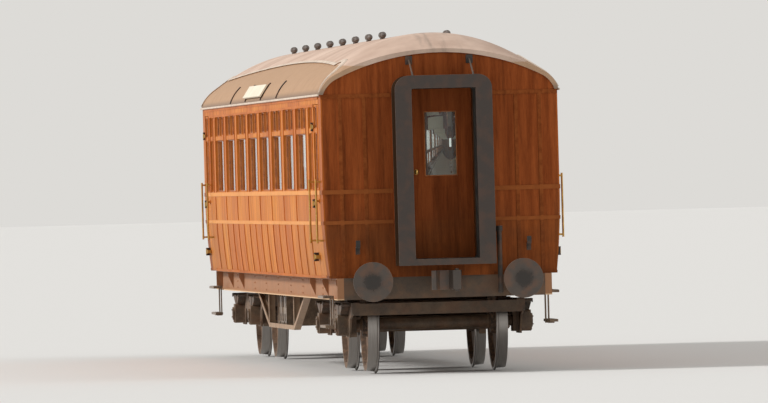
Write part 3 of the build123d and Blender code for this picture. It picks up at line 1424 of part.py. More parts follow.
def add_body():
    """Sides, ends, doors, roof and what is fixed to them."""
    side = side_wall()
    add("side_left", side)
    add("side_right", turned(side))
    glass = side_glass()
    add("window_glass_left", *glass)
    add("window_glass_right", *[turned(one) for one in glass])
    add("cantrails", *both_ends([cantrail()]))
    front = end_wall()
    add("end_wall_front", front)
    add("end_wall_rear", turned(front))
    add("roof", roof())
    add("gutters", *both_ends([gutter(), rain_strip()]))
    doors = {
        "front_left": door(DOOR_IN_X, DOOR_OUT_X, DOOR_OUT_X),
        "rear_left": door(-DOOR_OUT_X, -DOOR_IN_X, -DOOR_IN_X),
    }
    for name, other in (("front_left", "rear_right"), ("rear_left", "front_right")):
        panel, glass = doors[name]
        add(f"door_{name}", panel)
        add(f"door_{name}_glass", *glass)
        add(f"door_{other}", turned(panel))
        add(f"door_{other}_glass", *[turned(one) for one in glass])
    hinges = side_door_hinges(DOOR_OUT_X, 1) + side_door_hinges(-DOOR_IN_X, 1) + gangway_hinges()
    add("door_hinges", *both_ends(hinges))
    leaf = gangway_door()
    add("gangway_door_front", leaf)
    add("gangway_door_rear", turned(leaf))
    plate, bellows = gangway()
    add("gangway_frames", *both_ends([plate]))
    add("gangway_bellows", *both_ends([bellows]))
    add("ventilators", *[ventilator(x, side * VENT_Y) for x in bays() for side in (-1, 1)])
    add("roof_boards", *both_ends([roof_board()]))
    add("roof_board_brackets", *both_ends(board_brackets()))
    places = [side * x for x in (DOOR_OUT_X + RAIL_FROM_DOOR, DOOR_IN_X - RAIL_FROM_DOOR) for side in (-1, 1)]
    add("handrails", *both_ends([handrail(x) for x in places]))


def add_saloon():
    """The partitions, seats, tables and racks."""
    add("partitions", *both_ends([partition()]))
    rows = [(x, side, ends) for x, ends in seat_rows() for side in (-1, 1)]
    add("seats", *[solid for row in rows for solid in seat_pair(*row)])
    add("seat_frames", *[seat_frame(*row) for row in rows])
    add("tables", *[solid for x in bays() for side in (-1, 1) for solid in table(x, side)])
    add("luggage_racks", *both_ends([rack()]))


def add_underframe():
    """The underframe and all that hangs from it."""
    add("underframe", *underframe())
    add("truss_rods", *both_ends([truss()]))
    add("floor", *floor())
    add("buffers", *both_ends([buffer(1), buffer(-1)]))
    add("couplers", *both_ends([coupler()]))
    steps = footsteps()
    add("footsteps", *both_ends(steps + [mirrored(step) for step in steps]))
    add("battery_boxes", *both_ends(battery_box()))
    add("brake_cylinders", *both_ends(brake_cylinder()))
    add("dynamo", *dynamo())
    add("pipe_stubs", *both_ends([pipe_stubs()]))


def add_bogies():
    """Both bogies and their four wheelsets."""
    frame = bogie_frame()
    beam = bolster()
    boxes = axleboxes()
    stations = (-WHEELBASE / 2, WHEELBASE / 2)
    springs = [leaf_spring(x, side) for x in stations for side in (-1, 1)] + coil_springs()
    brakes = brake_gear()
    for name, x in (("front", BOGIE_X), ("rear", -BOGIE_X)):
        add(f"bogie_{name}_frame", *place(frame, x))
        add(f"bogie_{name}_bolster", *place([beam], x))
        add(f"bogie_{name}_axleboxes", *place(boxes, x))
        add(f"bogie_{name}_springs", *place(springs, x))
        add(f"bogie_{name}_brakes", *place(brakes, x))
    axles = [bogie + side * WHEELBASE / 2 for bogie in (BOGIE_X, -BOGIE_X) for side in (1, -1)]
    for number, x in enumerate(axles, 1):
        add(f"wheelset_{number}_wheels", *wheels(x))
        add(f"wheelset_{number}_axle", axle(x))


def main():
    """Builds every sub-part and writes one file for each."""
    add_body()
    add_saloon()
    add_underframe()
    add_bogies()
    os.makedirs("parts", exist_ok=True)
    for name, solids in parts.items():
        shape = solids[0] if len(solids) == 1 else Compound(solids)
        export_step(shape, f"parts/{name}.step")


main()
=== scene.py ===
"""Passenger coach: finishes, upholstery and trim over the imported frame.

Metres. +X is the front end, +Y the left side and +Z up, as in the frame. Each sub-assembly
is a class that dresses its CAD nodes and builds its own pieces.
"""

import logging
import math
from collections.abc import Iterable, Sequence
from dataclasses import dataclass, field, replace
from enum import Enum
from functools import cached_property

import bmesh
import bpy
from mathutils import Matrix, Vector, noise
from mathutils.bvhtree import BVHTree

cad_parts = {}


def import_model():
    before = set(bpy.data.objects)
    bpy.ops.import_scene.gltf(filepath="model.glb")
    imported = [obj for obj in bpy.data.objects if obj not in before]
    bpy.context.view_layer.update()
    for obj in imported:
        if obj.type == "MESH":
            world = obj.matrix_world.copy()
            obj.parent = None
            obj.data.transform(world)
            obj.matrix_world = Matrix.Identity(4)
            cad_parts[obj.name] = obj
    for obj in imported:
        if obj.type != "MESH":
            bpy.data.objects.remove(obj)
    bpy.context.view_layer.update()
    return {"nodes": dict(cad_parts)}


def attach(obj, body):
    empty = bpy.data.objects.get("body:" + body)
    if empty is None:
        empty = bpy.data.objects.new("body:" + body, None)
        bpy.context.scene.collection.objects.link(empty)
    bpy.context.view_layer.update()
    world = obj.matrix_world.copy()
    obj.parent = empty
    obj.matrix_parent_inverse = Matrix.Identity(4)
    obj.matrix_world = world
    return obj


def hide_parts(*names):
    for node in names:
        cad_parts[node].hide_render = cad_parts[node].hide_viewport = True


log = logging.getLogger("coach")

COACH = "coach_body"

HALF_WIDTH = 1.3715
END_X = 9.3725
BOGIE_X = 6.553
HALF_BASE = 1.295
AXLE_Z = 0.573
WAIST_Z = 2.118
SILL_Z = 2.158
CANTRAIL_Z = 3.248
TURN_RADIUS = 8.1975
BOW_RADIUS = 7.3
BAY = 1.8288
BUFFER_Y = 0.868
BUFFER_Z = 1.082

HALF_TURN = Matrix.Rotation(math.pi, 4, "Z")
FLIP_Y = Matrix.Diagonal((1.0, -1.0, 1.0, 1.0))
FLIP_X = Matrix.Diagonal((-1.0, 1.0, 1.0, 1.0))

Colour = tuple[float, float, float]
Place = Sequence[float]
Shape = bmesh.types.BMesh
Mesh = bpy.types.Mesh


class Run(Enum):
    """Which way a grain runs, as stretches along X, Y and Z."""

    LENGTHWISE = (0.35, 6.0, 6.0)
    UPRIGHT = (6.0, 6.0, 0.35)


class End(Enum):
    """An end of the coach."""

    FRONT = "front"
    REAR = "rear"

    @property
    def turn(self) -> Matrix:
        """The move that takes a front part to this end."""
        return Matrix() if self is End.FRONT else HALF_TURN


class Side(Enum):
    """A side of the coach."""

    LEFT = "left"
    RIGHT = "right"

    @property
    def turn(self) -> Matrix:
        """The half turn that takes a left part to this side."""
        return Matrix() if self is Side.LEFT else HALF_TURN

    @property
    def mirror(self) -> Matrix:
        """The reflection that takes a left part to this side."""
        return Matrix() if self is Side.LEFT else FLIP_Y


CORNERS = {f"{end.value}_{side.value}": (end, side) for end in End for side in Side}


def linear(red: int, green: int, blue: int) -> Colour:
    """A colour for a shader from its 0 to 255 screen values.

    Args:
        red: The red level.
        green: The green level.
        blue: The blue level.

    Returns:
        The linear colour.
    """
    parts = []
    for level in (red, green, blue):
        share = level / 255
        parts.append(share / 12.92 if share <= 0.04045 else ((share + 0.055) / 1.055) ** 2.4)
    return tuple(parts)


class Value:
    """A node's output, which adds, subtracts and multiplies as a number does."""

    def __init__(self, graph: "Graph", socket: bpy.types.NodeSocket) -> None:
        """Keeps the graph and the output's socket."""
        self.graph = graph
        self.socket = socket

    def __add__(self, other: "Value | float") -> "Value":
        """The sum."""
        return self.graph.math("ADD", self, other)

    def __radd__(self, other: float) -> "Value":
        """A number and this value."""
        return self.graph.math("ADD", other, self)

    def __sub__(self, other: "Value | float") -> "Value":
        """The difference."""
        return self.graph.math("SUBTRACT", self, other)

    def __rsub__(self, other: float) -> "Value":
        """A number less this value."""
        return self.graph.math("SUBTRACT", other, self)

    def __mul__(self, other: "Value | float") -> "Value":
        """The product."""
        return self.graph.math("MULTIPLY", self, other)

    def __truediv__(self, other: "Value | float") -> "Value":
        """The quotient."""
        return self.graph.math("DIVIDE", self, other)

    def __gt__(self, other: "Value | float") -> "Value":
        """1 where this value is the greater, and 0 elsewhere."""
        return self.graph.math("GREATER_THAN", self, other)

    def __abs__(self) -> "Value":
        """The distance from 0."""
        return self.graph.math("ABSOLUTE", self)

    def most(self, other: "Value | float") -> "Value":
        """The greater of this value and another."""
        return self.graph.math("MAXIMUM", self, other)

    def blend(self, share: float, other: "Value") -> "Value":
        """A share of this value with the rest of another."""
        return self * share + other * (1 - share)

    def clamp(self) -> "Value":
        """This result of a Math node, kept between 0 and 1."""
        self.socket.node.use_clamp = True
        return self

    def band(self, low: float, high: float) -> "Value":
        """A smooth mask that is 0 at low and 1 at high, whichever is greater."""
        inputs = {"Value": self, "From Min": low, "From Max": high}
        return self.graph.add("MapRange", inputs, "Result", interpolation_type="SMOOTHSTEP")

    def beside(self, name: str | int) -> "Value":
        """Another output of the same node."""
        return Value(self.graph, self.socket.node.outputs[name])


class Graph:
    """A node tree with short calls for the nodes that the finishes use."""

    def __init__(self, tree: bpy.types.NodeTree) -> None:
        """Keeps the tree that nodes are added to.

        Args:
            tree: A material's tree, the world's or a group's.
        """
        self.tree = tree

    def give(self, socket: bpy.types.NodeSocket, value: object) -> None:
        """Sets an input, or links it to a node's output.

        Args:
            socket: The input.
            value: A number, a triple, or another node's value.
        """
        if isinstance(value, Value):
            self.tree.links.new(value.socket, socket)
        elif isinstance(value, tuple) and len(value) == 3 and socket.type == "RGBA":
            socket.default_value = (*value, 1.0)
        else:
            socket.default_value = value

    def add(
        self, kind: str, inputs: dict | None = None, out: str | int = 0, **settings: object
    ) -> Value:
        """Adds a node.

        Args:
            kind: The node's class name after ShaderNode.
            inputs: Values by input name or place.
            out: The output that is wanted, by name or place.
            settings: The node's own properties.

        Returns:
            The output.
        """
        node = self.tree.nodes.new(f"ShaderNode{kind}")
        for name, value in settings.items():
            setattr(node, name, value)
        for name, value in (inputs or {}).items():
            self.give(node.inputs[name], value)
        return Value(self, node.outputs[out])

    def math(self, operation: str, *values: Value | float) -> Value:
        """A Math node's result for values in order."""
        return self.add("Math", dict(enumerate(values)), operation=operation)

    def mix(self, mask: Value, under: Value | Colour, over: Value | Colour) -> Value:
        """A colour with another over it where the mask is."""
        return self.add("Mix", {0: mask, 6: under, 7: over}, 2, data_type="RGBA")

    @cached_property
    def place(self) -> Value:
        """The point on the piece, in its own axes."""
        return self.add("TexCoord", out="Object")

    @cached_property
    def facing(self) -> Value:
        """The way that the surface faces, in the piece's own axes."""
        return self.add("TexCoord", out="Normal")

    def axes(self, vector: Value) -> tuple[Value, Value, Value]:
        """The three parts of a vector."""
        first = self.add("SeparateXYZ", {0: vector})
        return first, first.beside(1), first.beside(2)

    def stretch(self, by: Value | Place) -> Value:
        """The point on the piece, with its axes stretched."""
        return self.add("VectorMath", {0: self.place, 1: by}, operation="MULTIPLY")

    def noise(
        self, scale: Value | float, detail: float = 4.0, rough: float = 0.55, at: Value | None = None
    ) -> Value:
        """A noise value from 0 to 1.

        Args:
            scale: Its lumps to the metre.
            detail: Its octaves.
            rough: How strong the small lumps are.
            at: Where it is read, if not at the point on the piece.

        Returns:
            The value.
        """
        inputs = {"Vector": at or self.place, "Scale": scale, "Detail": detail, "Roughness": rough}
        return self.add("TexNoise", inputs)

    def radius(self, first: Value, second: Value) -> Value:
        """The distance that two legs at right angles span."""
        return self.math("SQRT", first * first + second * second)

    def use(self, group: bpy.types.NodeTree, **inputs: object) -> Value:
        """Places a node group with its own values and gives its first output."""
        return self.add("Group", inputs, node_tree=group)


class Group(Graph):
    """A new node group with its own inputs and outputs."""

    def __init__(self, name: str, outputs: Sequence[str], **inputs: float | Colour) -> None:
        """Opens the group.

        Args:
            name: The group's name.
            outputs: Each output's name. Color is a colour and the others are values.
            inputs: Each input's first value. A triple is a colour, but Stretch is a vector.
        """
        super().__init__(bpy.data.node_groups.new(name, "ShaderNodeTree"))
        for label, first in inputs.items():
            kind = "Float" if isinstance(first, float) else "Vector" if label == "Stretch" else "Color"
            socket = self.declare(label, "INPUT", kind)
            socket.default_value = (*first, 1.0) if kind == "Color" else first
        for label in outputs:
            self.declare(label, "OUTPUT", "Color" if label == "Color" else "Float")
        self.entry = self.tree.nodes.new("NodeGroupInput")
        self.leave = self.tree.nodes.new("NodeGroupOutput")

    def declare(self, label: str, way: str, kind: str) -> bpy.types.NodeTreeInterfaceSocket:
        """Adds a socket to the group."""
        return self.tree.interface.new_socket(label, in_out=way, socket_type=f"NodeSocket{kind}")

    def take(self, label: str) -> Value:
        """One of the group's inputs."""
        return Value(self, self.entry.outputs[label])

    def put(self, **values: Value) -> bpy.types.NodeTree:
        """Sends values to the group's outputs.

        Args:
            values: The values by output name.

        Returns:
            The finished tree.
        """
        for label, value in values.items():
            self.give(self.leave.inputs[label], value)
        return self.tree


class Effects:
    """The shader groups that several finishes share, each built once."""

    def __init__(self) -> None:
        """Builds every group."""
        self.grain = self.make_grain()
        self.wear = self.make_wear()
        self.dust = self.make_dust()
        self.streaks = self.make_streaks()
        self.casting = self.make_casting()
        self.skin = self.make_skin()
        self.weave = self.make_weave()

    def make_grain(self) -> bpy.types.NodeTree:
        """Wood figure and pores, drawn out along the grain.

        Returns:
            The group.
        """
        colours = {"Light": (0.6, 0.35, 0.15), "Dark": (0.3, 0.14, 0.05)}
        group = Group("wood_grain", ("Color", "Height"), **colours, Stretch=Run.UPRIGHT.value)
        spot = group.stretch(group.take("Stretch"))
        figure = group.noise(2.2, 5.0, 0.6, spot).band(0.32, 0.7)
        pores = group.noise(26.0, 3.0, 0.7, spot).band(0.35, 0.75)
        colour = group.mix(figure.blend(0.65, pores), group.take("Light"), group.take("Dark"))
        return group.put(Color=colour, Height=1.0 - pores)

    def make_wear(self) -> bpy.types.NodeTree:
        """A mask on edges that hands and weather rub.

        Returns:
            The group.
        """
        group = Group("edge_wear", ("Mask",), Radius=0.006, Amount=1.0)
        soft = group.add("Bevel", {"Radius": group.take("Radius")}, samples=4)
        plain = group.add("NewGeometry", out="Normal")
        same = group.add("VectorMath", {0: soft, 1: plain}, "Value", operation="DOT_PRODUCT")
        edge = (1.0 - same).band(0.02, 0.2)
        broken = group.noise(28.0, 5.0).band(0.3, 0.7)
        return group.put(Mask=(edge * broken * group.take("Amount")).clamp())

    def make_dust(self) -> bpy.types.NodeTree:
        """Road dust that thins with height and lies on what faces up.

        Returns:
            The group.
        """
        group = Group("road_dust", ("Mask",), Low=0.2, High=1.6, Amount=1.0)
        ends = {"From Min": group.take("Low"), "From Max": group.take("High")}
        level = {"Value": group.axes(group.place)[2], "To Min": 1.0, "To Max": 0.0}
        fall = group.add("MapRange", {**level, **ends}, "Result")
        upward = group.axes(group.facing)[2].band(0.3, 1.0)
        patches = group.noise(5.0, 6.0, 0.65).band(0.3, 0.75)
        fine = group.noise(60.0, 3.0, 0.7).band(0.3, 0.7)
        total = fall * patches.blend(0.7, fine) + upward * 0.45
        return group.put(Mask=(total * group.take("Amount")).clamp())

    def make_streaks(self) -> bpy.types.NodeTree:
        """Thin runs that rain draws down a face.

        Returns:
            The group.
        """
        group = Group("rain_streaks", ("Mask",), Width=9.0, Amount=1.0)
        spot = group.stretch((1.0, 1.0, 0.07))
        runs = group.noise(group.take("Width"), 5.0, 0.7, spot).band(0.48, 0.72)
        return group.put(Mask=(runs * group.take("Amount")).clamp())

    def make_casting(self) -> bpy.types.NodeTree:
        """Cast or scaled metal: small pits and larger shallow lumps.

        Returns:
            The group.
        """
        group = Group("cast_surface", ("Height", "Patches"), Scale=60.0)
        pits = group.noise(group.take("Scale"), 6.0, 0.65)
        lumps = group.noise(7.0, 3.0)
        return group.put(Height=pits.blend(0.6, lumps), Patches=lumps.band(0.4, 0.66))

    def make_skin(self) -> bpy.types.NodeTree:
        """How far a point stands out of the body's panels, as masks for its beads and fittings.

        The side turns under below the waist and the end bows out. A point counts from the face
        that it stands out of most.

        Returns:
            The group.
        """
        group = Group("body_levels", ("Bead", "Metal", "Inside", "Reveal", "Flank"))
        along, across, level = group.axes(group.place)
        drop = (WAIST_Z - level).most(0.0)
        side = abs(across) - (HALF_WIDTH - drop * drop / (2 * TURN_RADIUS))
        end = abs(along) - (END_X - across * across / (2 * BOW_RADIUS))
        out = side.most(end)
        return group.put(
            Bead=out.band(0.002, 0.006),
            Metal=out.band(0.0105, 0.0115),
            Inside=out.band(-0.046, -0.049),
            Reveal=out.band(-0.004, -0.012),
            Flank=side.band(-0.02, -0.01),
        )

    def make_weave(self) -> bpy.types.NodeTree:
        """Crossing threads, as a height, with a slow drift of tone.

        Returns:
            The group.
        """
        group = Group("cloth_weave", ("Height", "Tone"), Threads=900.0)
        along, across, level = group.axes(group.place)
        threads = group.take("Threads")
        warp, weft = (group.math("SINE", (part + level) * threads) * 0.25 for part in (along, across))
        return group.put(Height=warp + weft + 0.5, Tone=group.noise(9.0, 5.0).band(0.3, 0.72))


class Surface(Graph):
    """A new material with its Principled shader and the shared groups."""

    def __init__(self, name: str, effects: Effects) -> None:
        """Makes the material.

        Args:
            name: The material's name.
            effects: The shared groups.
        """
        self.material = bpy.data.materials.new(name)
        self.material.use_nodes = True
        super().__init__(self.material.node_tree)
        self.shader = self.tree.nodes["Principled BSDF"]
        self.effects = effects

    def shade(self, inputs: dict[str, object]) -> None:
        """Sets or feeds the shader's inputs by name."""
        for name, value in inputs.items():
            self.give(self.shader.inputs[name], value)

    def coat(self, colour: Value, rough: Value | float) -> None:
        """Gives the shader its colour and its roughness."""
        self.shade({"Base Color": colour, "Roughness": rough})

    def bump(self, height: Value, strength: float, depth: float) -> None:
        """Feeds a height from 0 to 1 to the shader's normal, with its real depth in metres."""
        inputs = {"Height": height, "Strength": strength, "Distance": depth}
        self.shade({"Normal": self.add("Bump", inputs)})

    def wood(self, light: Colour, dark: Colour, run: Run) -> Value:
        """The colour of wood. The height of its pores is beside it."""
        return self.use(self.effects.grain, Light=light, Dark=dark, Stretch=run.value)

    def wear(self, radius: float, amount: float) -> Value:
        """A mask on rubbed edges."""
        return self.use(self.effects.wear, Radius=radius, Amount=amount)

    def dust(self, low: float, high: float, amount: float) -> Value:
        """A mask of dust that thins from a low level to a high one."""
        return self.use(self.effects.dust, Low=low, High=high, Amount=amount)

    def streaks(self, width: float, amount: float) -> Value:
        """A mask of rain streaks."""
        return self.use(self.effects.streaks, Width=width, Amount=amount)

    def cast(self, scale: float) -> Value:
        """The height of cast metal. Its patches are beside it."""
        return self.use(self.effects.casting, Scale=scale)


class Finish:
    """A material that is built once and put on any number of pieces."""

    name: str

    def lay(self, on: Surface) -> None:
        """Lays the finish on a new surface. Each finish has its own."""
        raise NotImplementedError


@dataclass(frozen=True)
class Teak(Finish):
    """Varnished teak panelling with its beads, metal fittings and inner lining."""

    name: str = "varnished_teak"
    light: Colour = linear(218, 134, 54)
    dark: Colour = linear(164, 84, 29)
    bead: Colour = linear(206, 116, 46)
    pale: Colour = linear(242, 172, 98)
    # Window reveals painted paler than the panels: painted light on jambs that the key lamp barely
    # reaches.
    reveal_shading: Colour = linear(216, 138, 74)
    brown: Colour = linear(160, 106, 62)
    metal: Colour = linear(176, 138, 70)
    lining: Colour = linear(150, 96, 56)
    grime: Colour = linear(110, 64, 32)
    # Lighter wood for faces in line with the side, which stay outside the end's painted shade.
    flank: tuple[Colour, Colour] | None = None
    rails: tuple[float, float] = (1.769, 2.123)
    rail_half: tuple[float, float] = (0.03, 0.024)
    panel_width: float = BAY / 2
    wheel_zone: tuple[float, float] = (4.2, 7.4)
    splash: tuple[float, float] = (2.15, 1.5)
    dust_levels: tuple[float, float] = (0.95, 1.75)
    soiled: float = 0.5
    gloss: float = 0.04
    polish: float = 0.9
    plain: bool = False

    def toned(self, on: Surface, figure: Value) -> Value:
        """Gives each panel its own tone.

        Args:
            on: The surface.
            figure: The wood's colour.

        Returns:
            The colour with its tones.
        """
        along, _, level = on.axes(on.place)
        column = on.math("FLOOR", along / self.panel_width)
        low, high = (level > rail for rail in self.rails)
        cell = on.add("CombineXYZ", {0: column, 1: low + high})
        tone = on.add("TexWhiteNoise", {"Vector": cell}, "Value", noise_dimensions="3D")
        inputs = {"Hue": tone * 0.012 + 0.494, "Value": tone * 0.26 + 0.87, "Color": figure}
        return on.add("HueSaturation", inputs)

    def weather(self, on: Surface, colour: Value) -> tuple[Value, Value]:
        """Lays rain streaks, dust and brake dirt on the varnish.

        Args:
            on: The surface.
            colour: The clean colour.

        Returns:
            The soiled colour, and a mask of the streaks and the dust.
        """
        along, _, level = on.axes(on.place)
        runs = on.streaks(11.0, self.soiled)
        dust = on.dust(*self.dust_levels, 0.55 * self.soiled + 0.2)
        colour = on.mix(runs * 0.5, colour, self.grime)
        colour = on.mix(dust * 0.55, colour, self.grime)
        over_wheels = abs(along).band(*self.wheel_zone) * level.band(*self.splash)
        cloud = on.noise(1.6, 5.0).band(0.3, 0.62)
        return on.mix(over_wheels * cloud * 0.5, colour, self.brown), runs.most(dust)

    def trim(self, on: Surface, skin: Value, colour: Value) -> Value:
        """Colours the rails, the lining and the metal fittings, and gives the window reveals their
        painted light (painted shade on the end walls).

        Args:
            on: The surface.
            skin: How far points stand out of the panels.
            colour: The panels' colour.

        Returns:
            The colour with its trim.
        """
        level = on.axes(on.place)[2]
        for height in self.rails:
            line = abs(level - height).band(*self.rail_half)
            colour = on.mix(line * skin.beside("Bead") * 0.6, colour, self.pale)
        # The reveals get painted light (painted shade on the end walls); the lining and the metal
        # fittings get their own colours.
        for mask, tint in (("Reveal", self.reveal_shading), ("Inside", self.lining), ("Metal", self.metal)):
            colour = on.mix(skin.beside(mask), colour, tint)
        return colour

    def lay(self, on: Surface) -> None:
        """Lays the varnished wood.

        Args:
            on: The surface.
        """
        skin = on.use(on.effects.skin)
        wood = on.wood(self.light, self.dark, Run.UPRIGHT)
        figure = wood
        # Faces in line with the side take the flank wood, so that the painted shade of the end stops at
        # the corner.
        if self.flank:
            figure = on.mix(skin.beside("Flank"), wood, on.wood(*self.flank, Run.UPRIGHT))
        colour = self.toned(on, figure)
        if not self.plain:
            colour = on.mix(skin.beside("Bead"), colour, on.wood(self.bead, self.dark, Run.LENGTHWISE))
        colour, dirt = self.weather(on, colour)
        colour = on.mix(on.wear(0.004, 0.25), colour, self.pale)
        if not self.plain:
            colour = self.trim(on, skin, colour)
            on.shade({"Metallic": skin.beside("Metal") * self.polish})
        on.coat(colour, 0.42 + dirt * 0.34)
        on.shade({"Specular IOR Level": self.gloss})
        on.bump(wood.beside("Height"), 0.3, 0.0006)


@dataclass(frozen=True)
class InnerWood(Finish):
    """Satin-varnished wood inside the coach."""

    name: str = "inner_wood"
    light: Colour = linear(150, 98, 56)
    dark: Colour = linear(84, 46, 24)
    rubbed: Colour = linear(184, 132, 84)
    run: Run = Run.UPRIGHT

    def lay(self, on: Surface) -> None:
        """Lays the wood.

        Args:
            on: The surface.
        """
        wood = on.wood(self.light, self.dark, self.run)
        worn = on.wear(0.006, 0.7)
        on.coat(on.mix(worn, wood, self.rubbed), 0.36 + worn * 0.2)
        on.bump(wood.beside("Height"), 0.25, 0.0005)


@dataclass(frozen=True)
class RoofPaint(Finish):
    """Pale painted canvas, sooted along the ridge and stained below the rain strips."""

    name: str = "roof_paint"
    clean: Colour = linear(220, 192, 172)
    worn: Colour = linear(190, 160, 140)
    shoulder: Colour = linear(178, 141, 108)
    stained: Colour = linear(158, 122, 90)
    soot: Colour = linear(96, 84, 76)
    ceiling: Colour = linear(226, 220, 204)
    strip_rise: float = 0.47
    strip_fall: float = 0.0017
    eave_height: float = 0.09
    ridge_half: float = 0.55

    def weathered(self, on: Surface) -> Value:
        """The canvas with its stains, the soot of the ridge and the dirt over the gutters.

        Args:
            on: The surface.

        Returns:
            The colour.
        """
        along, across, level = on.axes(on.place)
        rise = level - CANTRAIL_Z
        below = (self.strip_rise - along * along * self.strip_fall - rise).band(-0.006, 0.006)
        broad = on.noise(0.9, 6.0, 0.6).band(0.35, 0.68)
        low = on.mix(on.streaks(7.0, 1.0) * 0.7, self.shoulder, self.stained)
        colour = on.mix(below, on.mix(broad, self.clean, self.worn), low)
        colour = on.mix(rise.band(self.eave_height, 0.0) * 0.7, colour, self.soot)
        smoke = on.noise(3.0, 5.0, at=on.stretch((0.35, 3.0, 1.0))).band(0.42, 0.75)
        return on.mix(abs(across).band(self.ridge_half, 0.0) * smoke * 0.5, colour, self.soot)

    def lay(self, on: Surface) -> None:
        """Lays the paint outside and the ceiling's inside.

        Args:
            on: The surface.
        """
        _, aside, upward = on.axes(on.facing)
        under = upward.band(0.02, -0.12)
        inward = (on.axes(on.place)[1] * aside).band(0.0, -0.02)
        small = on.noise(14.0, 6.0, 0.7)
        on.coat(on.mix(under.most(inward), self.weathered(on), self.ceiling), 0.62 + small * 0.24)
        on.bump(small + on.noise(2.2, 3.0), 0.35, 0.0035)


@dataclass(frozen=True)
class Paint(Finish):
    """Oil paint on wood or metal, chipped at its edges and dulled by dirt."""

    name: str = "pale_paint"
    colour: Colour = linear(214, 200, 176)
    below: Colour = linear(120, 84, 54)
    dirt: Colour = linear(110, 92, 74)
    dirty: float = 0.4
    roughness: float = 0.5

    def lay(self, on: Surface) -> None:
        """Lays the paint.

        Args:
            on: The surface.
        """
        patches = on.noise(3.5, 6.0, 0.65).band(0.35, 0.75)
        soil = ((patches + on.streaks(14.0, 0.8)) * self.dirty).clamp()
        colour = on.mix(on.wear(0.005, 1.0), on.mix(soil, self.colour, self.dirt), self.below)
        on.coat(colour, self.roughness + soil * 0.3)
        on.bump(on.noise(45.0, 4.0), 0.25, 0.0008)


@dataclass(frozen=True)
class Iron(Finish):
    """Painted or bare iron under brown dust, with rubbed edges."""

    name: str = "frame_iron"
    paint: Colour = linear(66, 56, 48)
    rust: Colour = linear(112, 72, 46)
    dust: Colour = linear(150, 124, 98)
    rubbed: Colour = linear(150, 138, 126)
    grease: Colour = linear(40, 33, 27)
    dusty: float = 0.6
    low: float = 0.3
    high: float = 1.5
    roughness: float = 0.55
    bare: float = 0.25
    scale: float = 60.0
    greased: tuple[float, float] | None = None

    def smear(self, on: Surface) -> Value:
        """Finds the grease that is smeared round two mirrored axes along X.

        Args:
            on: The surface.

        Returns:
            The mask.
        """
        _, across, level = on.axes(on.place)
        radius = on.radius(abs(across) - self.greased[0], level - self.greased[1])
        return (radius + on.noise(16.0, 5.0, 0.65) * 0.11).band(0.2, 0.12)

    def lay(self, on: Surface) -> None:
        """Lays the paint, the rust, the dust and any grease.

        Args:
            on: The surface.
        """
        cast = on.cast(self.scale)
        dust = on.dust(self.low, self.high, self.dusty)
        worn = on.wear(0.006, self.bare * 2)
        colour = on.mix(cast.beside("Patches") * 0.5, self.paint, self.rust)
        colour = on.mix(worn, on.mix(dust, colour, self.dust), self.rubbed)
        rough = self.roughness + dust * 0.3
        if self.greased:
            smear = self.smear(on)
            colour = on.mix(smear, colour, self.grease)
            rough = rough - smear * 0.25
        on.coat(colour, rough)
        on.shade({"Metallic": worn * 0.7})
        on.bump(cast, 0.35, 0.0018)


@dataclass(frozen=True)
class Solebar(Finish):
    """The underframe: dusty tan on the outside of the solebars, dark behind, with a painted highlight
    along their bottom lips.
    """

    name: str = "underframe_paint"
    outside: Colour = linear(162, 113, 76)
    runs: Colour = linear(120, 88, 60)
    # Pale colour for the solebar's bottom lip: a painted highlight.
    edge: Colour = linear(214, 176, 136)
    inside: Colour = linear(70, 58, 48)
    rust: Colour = linear(110, 74, 48)
    dust: Colour = linear(142, 116, 90)
    solebar_y: float = 1.16
    lip_z: float = 0.893

    def lay(self, on: Surface) -> None:
        """Lays the paint, the rust and the dust.

        Args:
            on: The surface.
        """
        _, across, level = on.axes(on.place)
        outer = abs(across).band(self.solebar_y + 0.002, self.solebar_y + 0.006)
        cast = on.cast(42.0)
        dust = on.dust(0.5, 1.4, 0.7)
        dark = on.mix(dust, on.mix(cast.beside("Patches") * 0.55, self.inside, self.rust), self.dust)
        tan = on.mix(on.streaks(10.0, 0.9) * 0.55, self.outside, self.runs)
        # Painted highlight: the outer face below the lip takes the pale colour, as though lit.
        tan = on.mix(level.band(self.lip_z, self.lip_z - 0.004), tan, self.edge)
        on.coat(on.mix(outer, dark, tan), 0.6 + dust * 0.3)
        on.bump(cast, 0.35, 0.0015)


